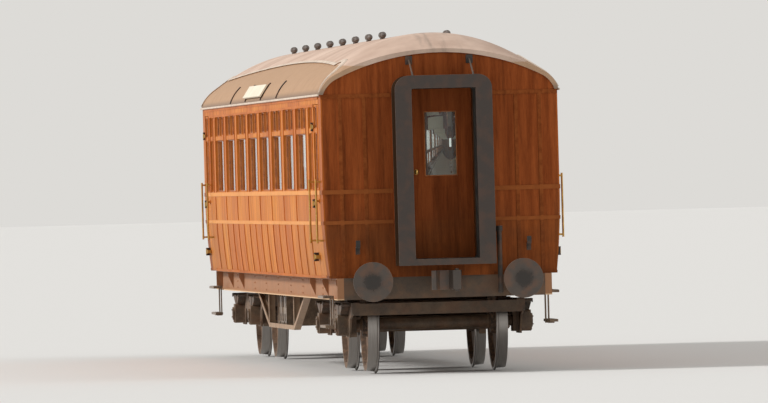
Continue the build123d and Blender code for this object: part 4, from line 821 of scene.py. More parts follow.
@dataclass(frozen=True)
class WheelSteel(Finish):
    """A wheel: a bright rolled tread and flange, a dusty painted disc."""

    name: str = "wheel_steel_1"
    axle_x: float = BOGIE_X + HALF_BASE
    disc: Colour = linear(92, 74, 60)
    rust: Colour = linear(122, 92, 68)
    dust: Colour = linear(138, 108, 84)
    oil: Colour = linear(44, 36, 30)
    tread: Colour = linear(176, 172, 168)
    worn_tread: Colour = linear(120, 112, 106)
    tread_radius: float = 0.545
    inner_face: float = 0.693
    oil_radius: float = 0.2

    def polished(self, radius: Value, across: Value) -> Value:
        """A mask of the tread and of the flange's back, which rails keep bright.

        Args:
            radius: The distance from the axle.
            across: The distance from the coach's middle.

        Returns:
            The mask.
        """
        tread = radius.band(self.tread_radius - 0.0065, self.tread_radius - 0.0045)
        back = abs(across).band(self.inner_face, self.inner_face - 0.004)
        return tread.most(back * radius.band(self.tread_radius - 0.01, self.tread_radius))

    def lay(self, on: Surface) -> None:
        """Lays the steel, the paint, the oil and the dust.

        Args:
            on: The surface.
        """
        along, across, level = on.axes(on.place)
        radius = on.radius(along - self.axle_x, level - AXLE_Z)
        bright = self.polished(radius, across)
        cast = on.cast(50.0)
        colour = on.mix(cast.beside("Patches") * 0.6, self.disc, self.rust)
        colour = on.mix(radius.band(self.oil_radius, self.oil_radius - 0.07) * 0.8, colour, self.oil)
        colour = on.mix(on.noise(24.0, 4.0).band(0.4, 0.75), colour, self.dust)
        rings = on.noise(5.0, 2.0, at=on.stretch((1.0, 60.0, 1.0)))
        colour = on.mix(bright, colour, on.mix(rings, self.tread, self.worn_tread))
        on.coat(colour, 0.74 - bright * 0.44)
        on.shade({"Metallic": bright * 0.95})
        on.bump(cast, 0.3, 0.0012)


@dataclass(frozen=True)
class Brass(Finish):
    """Handled brass: bright where it is rubbed, brown in its corners."""

    name: str = "worn_brass"
    bright: Colour = linear(214, 172, 96)
    dull: Colour = linear(164, 124, 66)

    def lay(self, on: Surface) -> None:
        """Lays the brass and its tarnish.

        Args:
            on: The surface.
        """
        tarnish = on.noise(7.0, 3.0, 0.6).band(0.3, 0.75)
        on.coat(on.mix(tarnish, self.bright, self.dull), 0.22 + tarnish * 0.3)
        on.shade({"Metallic": 1.0})
        on.bump(on.noise(160.0, 3.0), 0.15, 0.0003)


@dataclass(frozen=True)
class Glass(Finish):
    """Clear window glass with a trace of green and a film of dust."""

    name: str = "window_glass"
    tint: Colour = linear(242, 248, 245)

    def lay(self, on: Surface) -> None:
        """Lays the glass. The lamps' light passes straight through it to the saloon.

        Args:
            on: The surface.
        """
        on.coat(self.tint, 0.01 + on.streaks(16.0, 1.0) * 0.04)
        on.shade({"Transmission Weight": 1.0, "IOR": 1.45})
        on.bump(on.noise(1.6, 1.0), 0.1, 0.001)
        clear = on.add("BsdfTransparent", {"Color": self.tint})
        shadow = on.add("LightPath", out="Is Shadow Ray")
        solid = Value(on, on.shader.outputs[0])
        surface = on.add("MixShader", {0: shadow, 1: solid, 2: clear})
        on.give(on.tree.nodes["Material Output"].inputs["Surface"], surface)


@dataclass(frozen=True)
class Cloth(Finish):
    """Woven or pile cloth."""

    name: str = "moquette"
    base: Colour = linear(122, 46, 34)
    # Colour for the low points of the weave: painted shade in the hollows between threads.
    shade: Colour = linear(74, 26, 22)
    faded: Colour = linear(158, 92, 66)
    threads: float = 1500.0
    sheen: float = 0.4
    roughness: float = 0.88

    def lay(self, on: Surface) -> None:
        """Lays the cloth.

        Args:
            on: The surface.
        """
        weave = on.use(on.effects.weave, Threads=self.threads)
        # Painted shade: the weave's hollows take the darker colour.
        colour = on.mix(weave * 0.6, self.shade, self.base)
        on.coat(on.mix(weave.beside("Tone") * 0.35, colour, self.faded), self.roughness)
        on.shade({"Sheen Weight": self.sheen})
        on.bump(weave, 0.5, 0.0008)


class Wardrobe:
    """Builds each finish once and puts it on nodes and pieces."""

    def __init__(self, nodes: dict[str, bpy.types.Object]) -> None:
        """Keeps the CAD nodes and builds the shared groups.

        Args:
            nodes: The frame's nodes by name.
        """
        self.nodes = nodes
        self.effects = Effects()
        self.made: dict[str, bpy.types.Material] = {}

    def material(self, finish: Finish) -> bpy.types.Material:
        """The finish's material.

        Args:
            finish: The finish.

        Returns:
            The material, built at its first use.
        """
        if finish.name not in self.made:
            surface = Surface(finish.name, self.effects)
            finish.lay(surface)
            self.made[finish.name] = surface.material
        return self.made[finish.name]

    def dress(self, finish: Finish, *names: str) -> None:
        """Puts a finish on CAD nodes.

        Args:
            finish: The finish.
            names: The nodes' names.
        """
        for name in names:
            for slot in self.nodes[name].material_slots:
                slot.material = self.material(finish)
            log.info("dressed %s with %s", name, finish.name)


TEAK = Teak()
# A darker copy of the varnished teak for the end walls: painted shade, with heavier grime as well.
SHADED_END_TEAK = Teak(
    name="shaded_end_teak",
    light=linear(166, 88, 42),
    dark=linear(112, 52, 20),
    bead=linear(150, 82, 40),
    pale=linear(158, 90, 46),
    # Reveals painted darker still: painted shade in the end walls' recesses.
    reveal_shading=linear(96, 48, 22),
    grime=linear(64, 36, 20),
    brown=linear(92, 56, 34),
    metal=linear(84, 62, 46),
    # The end pieces' faces in line with the side keep lighter wood, outside the painted shade.
    flank=(linear(196, 112, 50), linear(146, 72, 28)),
    panel_width=40.0,
    soiled=0.8,
    polish=0.2,
)
# The gangway doors take the same painted shade, without beads or trim colours.
SHADED_LEAF_TEAK = replace(SHADED_END_TEAK, name="shaded_leaf_teak", flank=None, plain=True)
ROOF = RoofPaint()
GLASS = Glass()
SOLEBAR = Solebar()
BRASS = Brass()

BOARD = Paint("board_paint", linear(242, 230, 206), dirty=0.2)
GUTTER = Paint("gutter_paint", linear(222, 202, 182), dirty=0.3)
VENT = Paint("ventilator_paint", linear(104, 92, 84), dirt=linear(58, 50, 46), dirty=0.55)
OPAL = Paint(
    name="opal_glass",
    colour=linear(236, 232, 220),
    below=linear(228, 222, 206),
    dirt=linear(206, 198, 178),
    dirty=0.2,
    roughness=0.2,
)

BLACK = Iron("black_iron", linear(48, 42, 38), dusty=0.35)
DUSTY = Iron("dusty_iron", linear(74, 60, 48), dusty=0.75)
SPRING = Iron("spring_steel", linear(62, 54, 48), dusty=0.5, bare=0.5, scale=90.0)
STEEL = Iron("buffer_steel", linear(70, 62, 56), dusty=0.3, bare=0.8, roughness=0.42)
BUFFER = replace(STEEL, name="buffer_head_steel", greased=(BUFFER_Y, BUFFER_Z))
GANGWAY = Iron("gangway_iron", linear(60, 50, 44), linear(84, 58, 44), dusty=0.3, bare=0.4)
TRUSS = Iron("truss_iron", linear(150, 122, 98), linear(120, 86, 62), linear(178, 150, 122), dusty=0.8)

INNER = InnerWood()
BEADING = InnerWood("glazing_bead", linear(206, 124, 62), linear(150, 78, 34), run=Run.LENGTHWISE)
STEP_WOOD = InnerWood("step_wood", linear(132, 108, 84), linear(72, 56, 44), run=Run.LENGTHWISE)
FLOOR = InnerWood("floor_cloth", linear(116, 78, 54), linear(70, 46, 34), run=Run.LENGTHWISE)

MOQUETTE = Cloth()
PIPING = Cloth("seat_piping", linear(92, 30, 26), linear(52, 18, 18), linear(120, 62, 48))
LINEN = Cloth("head_linen", linear(226, 220, 204), linear(196, 188, 170), linear(206, 192, 164))
BELLOWS = Cloth(
    name="bellows_cloth",
    base=linear(62, 56, 52),
    shade=linear(34, 31, 30),
    faded=linear(104, 92, 80),
    threads=2200.0,
    sheen=0.1,
)


KNOB = (
    (0, 0),
    (0.03, 0),
    (0.03, 0.004),
    (0.012, 0.008),
    (0.011, 0.022),
    (0.024, 0.03),
    (0.027, 0.04),
    (0.02, 0.05),
    (0, 0.053),
)
LOCK = ((0, 0), (0.013, 0), (0.013, 0.003), (0.009, 0.006), (0.009, 0.0035), (0, 0.003))
LAMP_ROSE = (
    (0, 0),
    (0.085, 0),
    (0.085, 0.008),
    (0.05, 0.022),
    (0.018, 0.03),
    (0.018, 0.062),
    (0, 0.062),
)
LAMP_RING = ((0.098, 0.055), (0.107, 0.055), (0.107, 0.067), (0.098, 0.067), (0.098, 0.055))
LAMP_BOWL = (
    (0.0, 0.135),
    (0.04, 0.131),
    (0.075, 0.115),
    (0.095, 0.088),
    (0.099, 0.062),
    (0.095, 0.062),
    (0.091, 0.086),
    (0.072, 0.111),
    (0.038, 0.127),
    (0.0, 0.131),
)
RIVET = ((0, 0), (1, 0), (0.94, 0.3), (0.6, 0.62), (0, 0.74))
BOLT = (
    (0, 0),
    (1.25, 0),
    (1.25, 0.14),
    (1, 0.14),
    (1, 0.85),
    (0.86, 0.98),
    (0.5, 0.98),
    (0.48, 1.3),
    (0, 1.4),
)
HANGER = ((9.355, 0.35, 3.62), (9.40, 0.35, 3.615), (9.79, 0.35, 3.45), (9.82, 0.35, 3.425))
HANGER_FOOT = ((9.352, 0.31, 3.57), (9.374, 0.39, 3.67))
LAMP_IRON = (
    (0.0, 1.40),
    (0.012, 1.40),
    (0.012, 1.475),
    (0.075, 1.475),
    (0.075, 1.56),
    (0.067, 1.56),
    (0.067, 1.487),
    (0.0, 1.487),
)


def as_mesh(shape: Shape, name: str = "part") -> Mesh:
    """Turns a shape into a mesh and frees the shape.

    Args:
        shape: The shape.
        name: The mesh's name.

    Returns:
        The mesh.
    """
    mesh = bpy.data.meshes.new(name)
    shape.to_mesh(mesh)
    shape.free()
    return mesh


def placed(name: str, data: bpy.types.ID) -> bpy.types.Object:
    """Puts an object in the scene.

    Args:
        name: The object's name.
        data: Its mesh, lamp or camera.

    Returns:
        The object.
    """
    made = bpy.data.objects.new(name, data)
    bpy.context.scene.collection.objects.link(made)
    return made


def verts_of(items: Iterable[object]) -> list[bmesh.types.BMVert]:
    """The vertices among what an operator made."""
    return [item for item in items if isinstance(item, bmesh.types.BMVert)]


def tree_of(mesh: Mesh) -> BVHTree:
    """A tree that finds the nearest point of a mesh."""
    faces = [tuple(face.vertices) for face in mesh.polygons]
    return BVHTree.FromPolygons([vertex.co for vertex in mesh.vertices], faces)


def lathe(outline: Iterable[Place], steps: int, size: float = 1.0) -> Mesh:
    """Turns an outline round Z.

    Args:
        outline: Radius and height of each point, from the bottom up.
        steps: How many sides the part has.
        size: What the outline is multiplied by.

    Returns:
        The part's mesh, at the origin.
    """
    shape = bmesh.new()
    points = [shape.verts.new((size * radius, 0.0, size * height)) for radius, height in outline]
    edges = [shape.edges.new(pair) for pair in zip(points, points[1:])]
    turn = {"cent": (0, 0, 0), "axis": (0, 0, 1), "angle": 2 * math.pi}
    bmesh.ops.spin(shape, geom=points + edges, **turn, steps=steps, use_merge=True)
    bmesh.ops.remove_doubles(shape, verts=shape.verts, dist=1e-5)
    bmesh.ops.recalc_face_normals(shape, faces=shape.faces)
    return as_mesh(shape)


def rivet(radius: float) -> Mesh:
    """A round rivet head."""
    return lathe(RIVET, 8, radius)


def bolt(radius: float) -> Mesh:
    """A hexagonal nut on its washer and stud."""
    return lathe(BOLT, 6, radius)


def stand(place: Place, direction: Place) -> Matrix:
    """The move that takes a part made along Z to a place, pointing in a direction."""
    turn = Vector(direction).to_track_quat("Z", "Y").to_matrix().to_4x4()
    return Matrix.Translation(place) @ turn


def repeat(part: Mesh, moves: Iterable[Matrix]) -> Shape:
    """Copies one part to many places.

    Args:
        part: The part's mesh.
        moves: Where each copy goes.

    Returns:
        One shape with all the copies.
    """
    shape = bmesh.new()
    for move in moves:
        first = len(shape.verts)
        shape.from_mesh(part)
        shape.verts.ensure_lookup_table()
        bmesh.ops.transform(shape, matrix=move, verts=shape.verts[first:])
    return shape


def doubled(shape: Shape, *moves: Matrix) -> None:
    """Adds a copy of the whole shape for each move.

    Args:
        shape: The shape.
        moves: Where its copies go.
    """
    first = shape.verts[:] + shape.edges[:] + shape.faces[:]
    for move in moves:
        made = bmesh.ops.duplicate(shape, geom=first)["geom"]
        bmesh.ops.transform(shape, matrix=move, verts=verts_of(made))


def both_ways(places: Iterable[Place], direction: Place) -> list[Matrix]:
    """The moves for parts on the left and, mirrored, on the right.

    Args:
        places: Where the left ones stand.
        direction: The way they point.

    Returns:
        The moves of both sides.
    """
    moves = [stand(place, direction) for place in places]
    return moves + [FLIP_Y @ move for move in moves]


def four_ways(places: Iterable[Place], direction: Place) -> list[Matrix]:
    """The moves of both sides at the front and, mirrored, at the rear."""
    moves = both_ways(places, direction)
    return moves + [FLIP_X @ move for move in moves]


def slab(shape: Shape, low: Place, high: Place, edge: float) -> None:
    """Adds a block with softened edges.

    Args:
        shape: The shape it joins.
        low: Its lowest corner.
        high: Its highest corner.
        edge: The width of its edges' rounding.
    """
    low, high = Vector(low), Vector(high)
    move = Matrix.Translation((low + high) / 2) @ Matrix.Diagonal((*(high - low), 1.0))
    corners = bmesh.ops.create_cube(shape, size=1.0, matrix=move)["verts"]
    edges = list({side for corner in corners for side in corner.link_edges})
    bmesh.ops.bevel(shape, geom=edges, offset=edge, segments=2, profile=0.5, affect="EDGES", material=-1)


def plate(shape: Shape, outline: Iterable[Place], thick: Place) -> None:
    """Adds a flat plate.

    Args:
        shape: The shape it joins.
        outline: The corners of one face.
        thick: The way and distance to the other face.
    """
    face = shape.faces.new([shape.verts.new(corner) for corner in outline])
    made = bmesh.ops.extrude_face_region(shape, geom=[face])["geom"]
    bmesh.ops.translate(shape, verts=verts_of(made), vec=thick)


def bar(points: Sequence[Place], radius: float, closed: bool = False) -> Mesh:
    """A round bar bent through points.

    Args:
        points: Its middle line.
        radius: Its radius.
        closed: Joins its end to its start.

    Returns:
        The bar's mesh.
    """
    curve = bpy.data.curves.new("bar", "CURVE")
    curve.dimensions = "3D"
    curve.bevel_depth = radius
    curve.bevel_resolution = 2
    curve.use_fill_caps = not closed
    spline = curve.splines.new("POLY")
    spline.points.add(len(points) - 1)
    for point, place in zip(spline.points, points):
        point.co = (*place, 1.0)
    spline.use_cyclic_u = closed
    made = bpy.data.objects.new("bar", curve)
    mesh = bpy.data.meshes.new_from_object(made)
    bpy.data.objects.remove(made)
    bpy.data.curves.remove(curve)
    shape = bmesh.new()
    shape.from_mesh(mesh)
    bmesh.ops.remove_doubles(shape, verts=shape.verts, dist=1e-6)
    shape.to_mesh(mesh)
    shape.free()
    return mesh


@dataclass(frozen=True)
class Bead:
    """The moulding that holds a pane of the left side."""

    corner: float
    width: float = 0.013
    depth: float = 0.014

    def add(self, shape: Shape, opening: Place, y: float) -> None:
        """Adds the bead round an opening.

        Args:
            shape: The shape it joins.
            opening: The opening's low x, high x, low z and high z.
            y: Where the bead's back lies.
        """
        x0, x1, z0, z1 = opening
        size = Matrix.Diagonal((x1 - x0, z1 - z0, 1.0, 1.0))
        middle = Matrix.Translation(((x0 + x1) / 2, y, (z0 + z1) / 2))
        move = middle @ Matrix.Rotation(math.pi / 2, 4, "X") @ size
        before = set(shape.faces)
        made = bmesh.ops.create_grid(shape, x_segments=1, y_segments=1, size=0.5, matrix=move)["verts"]
        soft = {"profile": 0.5, "material": -1}
        bmesh.ops.bevel(shape, geom=made, offset=self.corner, segments=4, affect="VERTICES", **soft)
        face = (set(shape.faces) - before).pop()
        even = {"use_boundary": True, "use_even_offset": True}
        ring = bmesh.ops.inset_region(shape, faces=[face], thickness=self.width, **even)["faces"]
        bmesh.ops.delete(shape, geom=[face], context="FACES")
        front = verts_of(bmesh.ops.extrude_face_region(shape, geom=ring)["geom"])
        bmesh.ops.translate(shape, verts=front, vec=(0, self.depth, 0))
        inner = [
            edge
            for edge in {edge for vert in front for edge in vert.link_edges}
            if all(vert in front for vert in edge.verts) and edge.calc_face_angle(0.0) > 1.0
        ]
        bmesh.ops.bevel(shape, geom=inner, offset=self.depth * 0.3, segments=1, affect="EDGES", **soft)


@dataclass
class Workshop:
    """Turns shapes into pieces, each with its finish and its body."""

    wardrobe: Wardrobe
    crease: float = math.radians(50)

    def piece(self, shape: Shape, name: str, body: str, finish: Finish, slot: str) -> bpy.types.Object:
        """Makes a piece of a shape and frees the shape.

        Args:
            shape: Its closed shells, in place.
            name: Its name.
            body: The body it rides on.
            finish: Its finish.
            slot: Not used.

        Returns:
            The piece.
        """
        shape.normal_update()
        bmesh.ops.recalc_face_normals(shape, faces=shape.faces)
        mesh = as_mesh(shape, name)
        mesh.materials.append(self.wardrobe.material(finish))
        mesh.shade_smooth()
        mesh.set_sharp_from_angle(angle=self.crease)
        made = placed(name, mesh)
        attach(made, body)
        log.info("made %s on %s with %d faces", name, body, len(mesh.polygons))
        return made


@dataclass
class Body:
    """The teak body: sides, ends, doors, glass and roof."""

    workshop: Workshop
    windows: int = 8
    window_width: float = 1.372
    window_height: float = 0.66
    toplight_z: float = 2.87
    toplight_height: float = 0.25
    toplight_gap: float = 0.046
    quarter_x: float = 7.76385
    light_width: float = 0.43
    glass_y: float = 1.3337
    window_bead: Bead = Bead(0.028)
    door_x: float = 8.5225
    door_glass_y: float = 1.3497
    door_bead: Bead = Bead(0.028, depth=0.012)
    lock_inset: float = 0.26
    lock_z: float = 1.962
    leaf_x: float = 9.3025
    leaf_thick: float = 0.04
    leaf_light: tuple[float, float, float] = (0.19, 2.278, 3.028)
    leaf_pane_half: float = 0.003
    leaf_bead: Bead = Bead(0.016, width=0.012)
    leaf_bead_faces: tuple[float, float] = (0.0032, -0.0172)
    knob: tuple[float, float] = (-0.29, 2.33)

    def dress(self) -> None:
        """Puts the finishes on the body's nodes."""
        dress = self.workshop.wardrobe.dress
        doors = [f"door_{corner}" for corner in CORNERS]
        dress(TEAK, "side_left", "side_right", "cantrails", *doors)
        dress(SHADED_END_TEAK, "end_wall_front", "end_wall_rear")
        dress(SHADED_LEAF_TEAK, "gangway_door_front", "gangway_door_rear")
        dress(GLASS, "window_glass_left", "window_glass_right", *(f"{door}_glass" for door in doors))
        dress(ROOF, "roof")
        dress(GUTTER, "gutters")
        dress(VENT, "ventilators")
        dress(BOARD, "roof_boards")
        dress(BLACK, "roof_board_brackets", "door_hinges")
        dress(BRASS, "handrails")

    def panes(self, x: float, width: float, lights: int) -> list[tuple[float, float, float, float]]:
        """The openings of one window column.

        Args:
            x: Its middle.
            width: Its width.
            lights: How many toplights it has.

        Returns:
            Each opening's low x, high x, low z and high z.
        """
        low = x - width / 2
        found = [(low, low + width, SILL_Z, SILL_Z + self.window_height)]
        light = (width - self.toplight_gap * (lights - 1)) / lights
        for index in range(lights):
            start = low + index * (light + self.toplight_gap)
            found.append((start, start + light, self.toplight_z, self.toplight_z + self.toplight_height))
        return found

    def build_window_beads(self) -> None:
        """Makes the glazing beads of both sides."""
        middle = (self.windows - 1) / 2
        columns = [((index - middle) * BAY, self.window_width, 2) for index in range(self.windows)]
        columns += [(way * self.quarter_x, self.light_width, 1) for way in (-1, 1)]
        for side in Side:
            shape = bmesh.new()
            for column in columns:
                for opening in self.panes(*column):
                    self.window_bead.add(shape, opening, self.glass_y)
            shape.transform(side.turn)
            self.workshop.piece(shape, f"window_beads_{side.value}", COACH, BEADING, "teak")

    def build_door_trim(self) -> None:
        """Makes each side door's glazing beads and lock."""
        for corner, (end, side) in CORNERS.items():
            way = 1 if (end is End.FRONT) == (side is Side.LEFT) else -1
            x = way * self.door_x
            shape = bmesh.new()
            for opening in self.panes(x, self.light_width, 1):
                self.door_bead.add(shape, opening, self.door_glass_y)
            shape.transform(side.turn)
            self.workshop.piece(shape, f"door_{corner}_beads", f"{corner}_door", BEADING, "door_teak")
            spot = (x - way * self.lock_inset, HALF_WIDTH - 0.004, self.lock_z)
            lock = repeat(lathe(LOCK, 16), [side.turn @ stand(spot, (0, 1, 0))])
            self.workshop.piece(lock, f"door_{corner}_lock", f"{corner}_door", BRASS, "brass")

    def build_gangway_doors(self) -> None:
        """Makes the panes, beads and knobs of the doors at both ends."""
        wide, low, high = self.leaf_light
        middle = self.leaf_x - self.leaf_thick / 2
        half = self.leaf_pane_half
        quarter = Matrix.Rotation(-math.pi / 2, 4, "Z")
        for end in End:
            body = f"{end.value}_gangway_door"
            pane = bmesh.new()
            slab(pane, (middle - half, -wide, low), (middle + half, wide, high), 0.001)
            pane.transform(end.turn)
            self.workshop.piece(pane, f"gangway_pane_{end.value}", body, GLASS, "glass")
            beads = bmesh.new()
            for face in self.leaf_bead_faces:
                self.leaf_bead.add(beads, (-wide, wide, low, high), middle + face)
            beads.transform(end.turn @ quarter)
            self.workshop.piece(beads, f"gangway_beads_{end.value}", body, BEADING, "teak")
            spot = (self.leaf_x - 0.001, *self.knob)
            knob = repeat(lathe(KNOB, 20), [end.turn @ stand(spot, (1, 0, 0))])
            self.workshop.piece(knob, f"gangway_knob_{end.value}", body, BRASS, "brass")

    def build(self) -> None:
        """Dresses the nodes and makes the body's own pieces."""
        self.dress()
        self.build_window_beads()
        self.build_door_trim()
        self.build_gangway_doors()


@dataclass
class Stuffing:
    """Blows a pad up from a slightly smaller block, as horsehair fills its cover."""

    voxel: float = 0.024
    edge: float = 0.03
    slack: float = 0.014
    margin: float = 0.004
    pressure: float = 4.0
    cap: float = 0.03
    steps: int = 20

    def block(self, low: Vector, high: Vector) -> Mesh:
        """The rounded block that the pad swells from.

        Args:
            low: The pad's lowest corner.
            high: Its highest corner.

        Returns:
            The block's mesh, with even faces.
        """
        shape = bmesh.new()
        slack = Vector((self.slack, self.slack, self.slack))
        slab(shape, low + slack, high - slack, self.edge)
        made = placed("pad", as_mesh(shape))
        skin = made.modifiers.new("skin", "REMESH")
        skin.mode = "VOXEL"
        skin.voxel_size = self.voxel
        return self.applied(made)

    def applied(self, made: bpy.types.Object) -> Mesh:
        """Applies an object's modifiers and removes the object.

        Args:
            made: The object.

        Returns:
            The resulting mesh.
        """
        graph = bpy.context.evaluated_depsgraph_get()
        mesh = bpy.data.meshes.new_from_object(made.evaluated_get(graph))
        bpy.data.objects.remove(made)
        return mesh

    def fill(self, low: Vector, high: Vector, flat: Sequence[tuple[int, int]]) -> Mesh:
        """Makes a pad.

        Args:
            low: Its lowest corner.
            high: Its highest corner.
            flat: The faces it rests on, as axis and side.

        Returns:
            The pad's mesh.
        """
        mesh = self.block(low, high)
        start = [vertex.co.copy() for vertex in mesh.vertices]
        made = placed("pad", mesh)
        cloth = made.modifiers.new("stuffing", "CLOTH").settings
        cloth.use_pressure = True
        cloth.uniform_pressure_force = self.pressure
        cloth.effector_weights.gravity = 0.0
        scene = bpy.context.scene
        for step in range(1, self.steps + 1):
            scene.frame_set(step)
        result = self.applied(made)
        scene.frame_set(1)
        for vertex, origin in zip(result.vertices, start):
            move = vertex.co - origin
            if move.length > 1e-6:
                swell = self.cap * math.tanh(move.length / (2 * self.cap))
                vertex.co = origin + move.normalized() * swell
            for axis, side in flat:
                limit = high[axis] if side > 0 else low[axis]
                past = side * (vertex.co[axis] - limit) > 0
                if past or side * (origin[axis] - limit) > -self.slack - self.margin:
                    vertex.co[axis] = limit
        return result


@dataclass
class Saloon:
    """The interior: woodwork, seats, head cloths and lamps."""

    workshop: Workshop
    near: float = 0.25
    far: float = 1.2334
    base_z: float = 1.628
    cushion_z: float = 1.778
    back_z: float = 2.458
    back_half: float = 0.075
    reach: float = 0.54
    end_row: float = 7.2152
    piping: float = 0.005
    piping_inset: float = 0.03
    piping_steps: int = 24
    piping_square: float = 7.0
    ceiling_z: float = 3.902
    lamps: int = 8
    cloth_size: tuple[float, float] = (0.74, 0.27)
    cloth_cut: tuple[float, float] = (0.72, 0.54)
    cloth_lift: float = 0.009
    cloth_ripple: float = 0.002
    ripple_rate: float = 31.0
    cloth_ease: float = 0.4
    cloth_clear: float = 0.015
    cloth_thick: float = 0.0016
    stuffing: Stuffing = field(default_factory=Stuffing)

    def dress(self) -> None:
        """Puts the finishes on the saloon's nodes."""
        dress = self.workshop.wardrobe.dress
        dress(INNER, "partitions", "seat_frames", "tables", "luggage_racks")
        dress(FLOOR, "floor")

    def rows(self) -> list[tuple[float, tuple[int, ...]]]:
        """Each row's place and the ways its seats face."""
        inner = [(index * BAY, (-1, 1)) for index in range(-3, 4)]
        return [(-self.end_row, (1,))] + inner + [(self.end_row, (-1,))]

    def seat_moves(self, side: Side, backs: bool) -> list[Matrix]:
        """The moves that take a side's cushions, or its backs, to their rows.

        Args:
            side: The side.
            backs: Whether they are the backs, one to a row.

        Returns:
            The moves.
        """
        moves = []
        for x, ways in self.rows():
            place = Matrix.Translation((x, 0, 0)) @ side.mirror
            moves += [place] if backs else [place @ (Matrix() if way > 0 else FLIP_X) for way in ways]
        return moves

    def round_loop(self) -> list[tuple[float, float]]:
        """Points round a square of half-width 1 with soft corners.

        Returns:
            The points.
        """
        found, square = [], self.piping_square
        for index in range(self.piping_steps):
            angle = 2 * math.pi * (index + 0.5) / self.piping_steps
            across, along = math.cos(angle), math.sin(angle)
            size = (abs(across) ** square + abs(along) ** square) ** (-1 / square)
            found.append((across * size, along * size))
        return found

    def pipe(self, pad: Mesh, low: Vector, high: Vector, seams: Iterable[tuple[int, float]]) -> Mesh:
        """Lays piping round a pad's seams.

        Args:
            pad: The pad's mesh.
            low: Its lowest corner.
            high: Its highest corner.
            seams: The axis that each seam goes round and its level there.

        Returns:
            The piping's mesh.
        """
        tree = tree_of(pad)
        middle, half = (low + high) / 2, (high - low) / 2
        shape = bmesh.new()
        for axis, level in seams:
            first, second = (index for index in range(3) if index != axis)
            path = []
            for across, along in self.round_loop():
                spot = middle.copy()
                spot[axis] = level
                spot[first] += across * half[first]
                spot[second] += along * half[second]
                path.append(tree.find_nearest(spot)[0])
            shape.from_mesh(bar(path, self.piping, closed=True))
        return as_mesh(shape)

    def build_seats(self) -> Mesh:
        """Makes the cushions and backs of both sides, with their piping.

        Returns:
            The mesh of one back.
        """
        half, base, inset = self.back_half, self.base_z, self.piping_inset
        pads = {
            "cushions": (
                Vector((half + 0.001, self.near, base)),
                Vector((self.reach, self.far, self.cushion_z)),
                ((2, -1), (0, -1)),
                ((2, self.cushion_z - inset), (2, base + inset)),
            ),
            "backs": (
                Vector((-half, self.near, base)),
                Vector((half, self.far, self.back_z)),
                ((2, -1),),
                ((0, half - inset), (0, inset - half)),
            ),
        }
        made = {}
        for label, (low, high, flat, seams) in pads.items():
            pad = self.stuffing.fill(low, high, flat)
            made[label] = pad, self.pipe(pad, low, high, seams)
        for side in Side:
            for label, (pad, piped) in made.items():
                moves = self.seat_moves(side, label == "backs")
                name = f"seat_{label}_{side.value}"
                piece = self.workshop.piece(repeat(pad, moves), name, COACH, MOQUETTE, "moquette")
                if name == "seat_cushions_left":
                    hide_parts("seats")
                name = f"seat_{label}_piping_{side.value}"
                self.workshop.piece(repeat(piped, moves), name, COACH, PIPING, "moquette")
        return made["backs"][0]

    def drape(self, back: Mesh) -> Shape:
        """Lays one linen cloth over the head of a back, close to its stuffing.

        Args:
            back: The back's mesh.

        Returns:
            The cloth's shape.
        """
        wide, drop = self.cloth_size
        half = self.back_half
        middle = (self.near + self.far) / 2
        tree = tree_of(back)
        shape = bmesh.new()
        bmesh.ops.create_grid(shape, x_segments=28, y_segments=14, size=0.5)
        for vert in shape.verts:
            along, y = vert.co.x * 2 * (half + drop), middle + vert.co.y * wide
            past = max(abs(along) - half, 0.0)
            out = math.copysign(half + self.cloth_clear, along) if past else along
            z = self.back_z + self.cloth_clear - past
            spot, normal, _, _ = tree.find_nearest(Vector((out, y, z)))
            lift = self.cloth_lift + self.cloth_ripple * math.sin(y * self.ripple_rate) * past / drop
            vert.co = spot + normal * lift
        every = {"use_axis_x": True, "use_axis_y": True, "use_axis_z": True}
        bmesh.ops.smooth_vert(shape, verts=shape.verts, factor=self.cloth_ease, **every)
        bmesh.ops.recalc_face_normals(shape, faces=shape.faces)
        bmesh.ops.solidify(shape, geom=shape.faces[:], thickness=self.cloth_thick)
        return shape

    def build_head_cloths(self, back: Mesh) -> None:
        """Makes a head cloth for every back.

        Args:
            back: The mesh of one back.
        """
        shape = self.drape(back)
        for side in Side:
            for number, (x, _) in enumerate(self.rows(), 1):
                cloth = shape.copy()
                cloth.transform(Matrix.Translation((x, 0, 0)) @ side.mirror)
                name = f"head_cloth_{side.value}_{number}"
                made = self.workshop.piece(cloth, name, COACH, LINEN, "moquette")
        shape.free()

    def build_lamps(self) -> None:
        """Makes the row of ceiling lamps: brass roses and opal bowls."""
        middle = (self.lamps - 1) / 2
        places = [((index - middle) * BAY, 0, self.ceiling_z) for index in range(self.lamps)]
        moves = [stand(place, (0, 0, -1)) for place in places]
        brass = repeat(lathe(LAMP_ROSE, 24), moves)
        brass.from_mesh(as_mesh(repeat(lathe(LAMP_RING, 32), moves)))
        self.workshop.piece(brass, "ceiling_lamp_roses", COACH, BRASS, "brass")
        bowls = repeat(lathe(LAMP_BOWL, 32), moves)
        self.workshop.piece(bowls, "ceiling_lamp_bowls", COACH, OPAL, "glass")

    def build(self) -> None:
        """Dresses the nodes and makes the saloon's own pieces."""
        self.dress()
        self.build_head_cloths(self.build_seats())
        self.build_lamps()


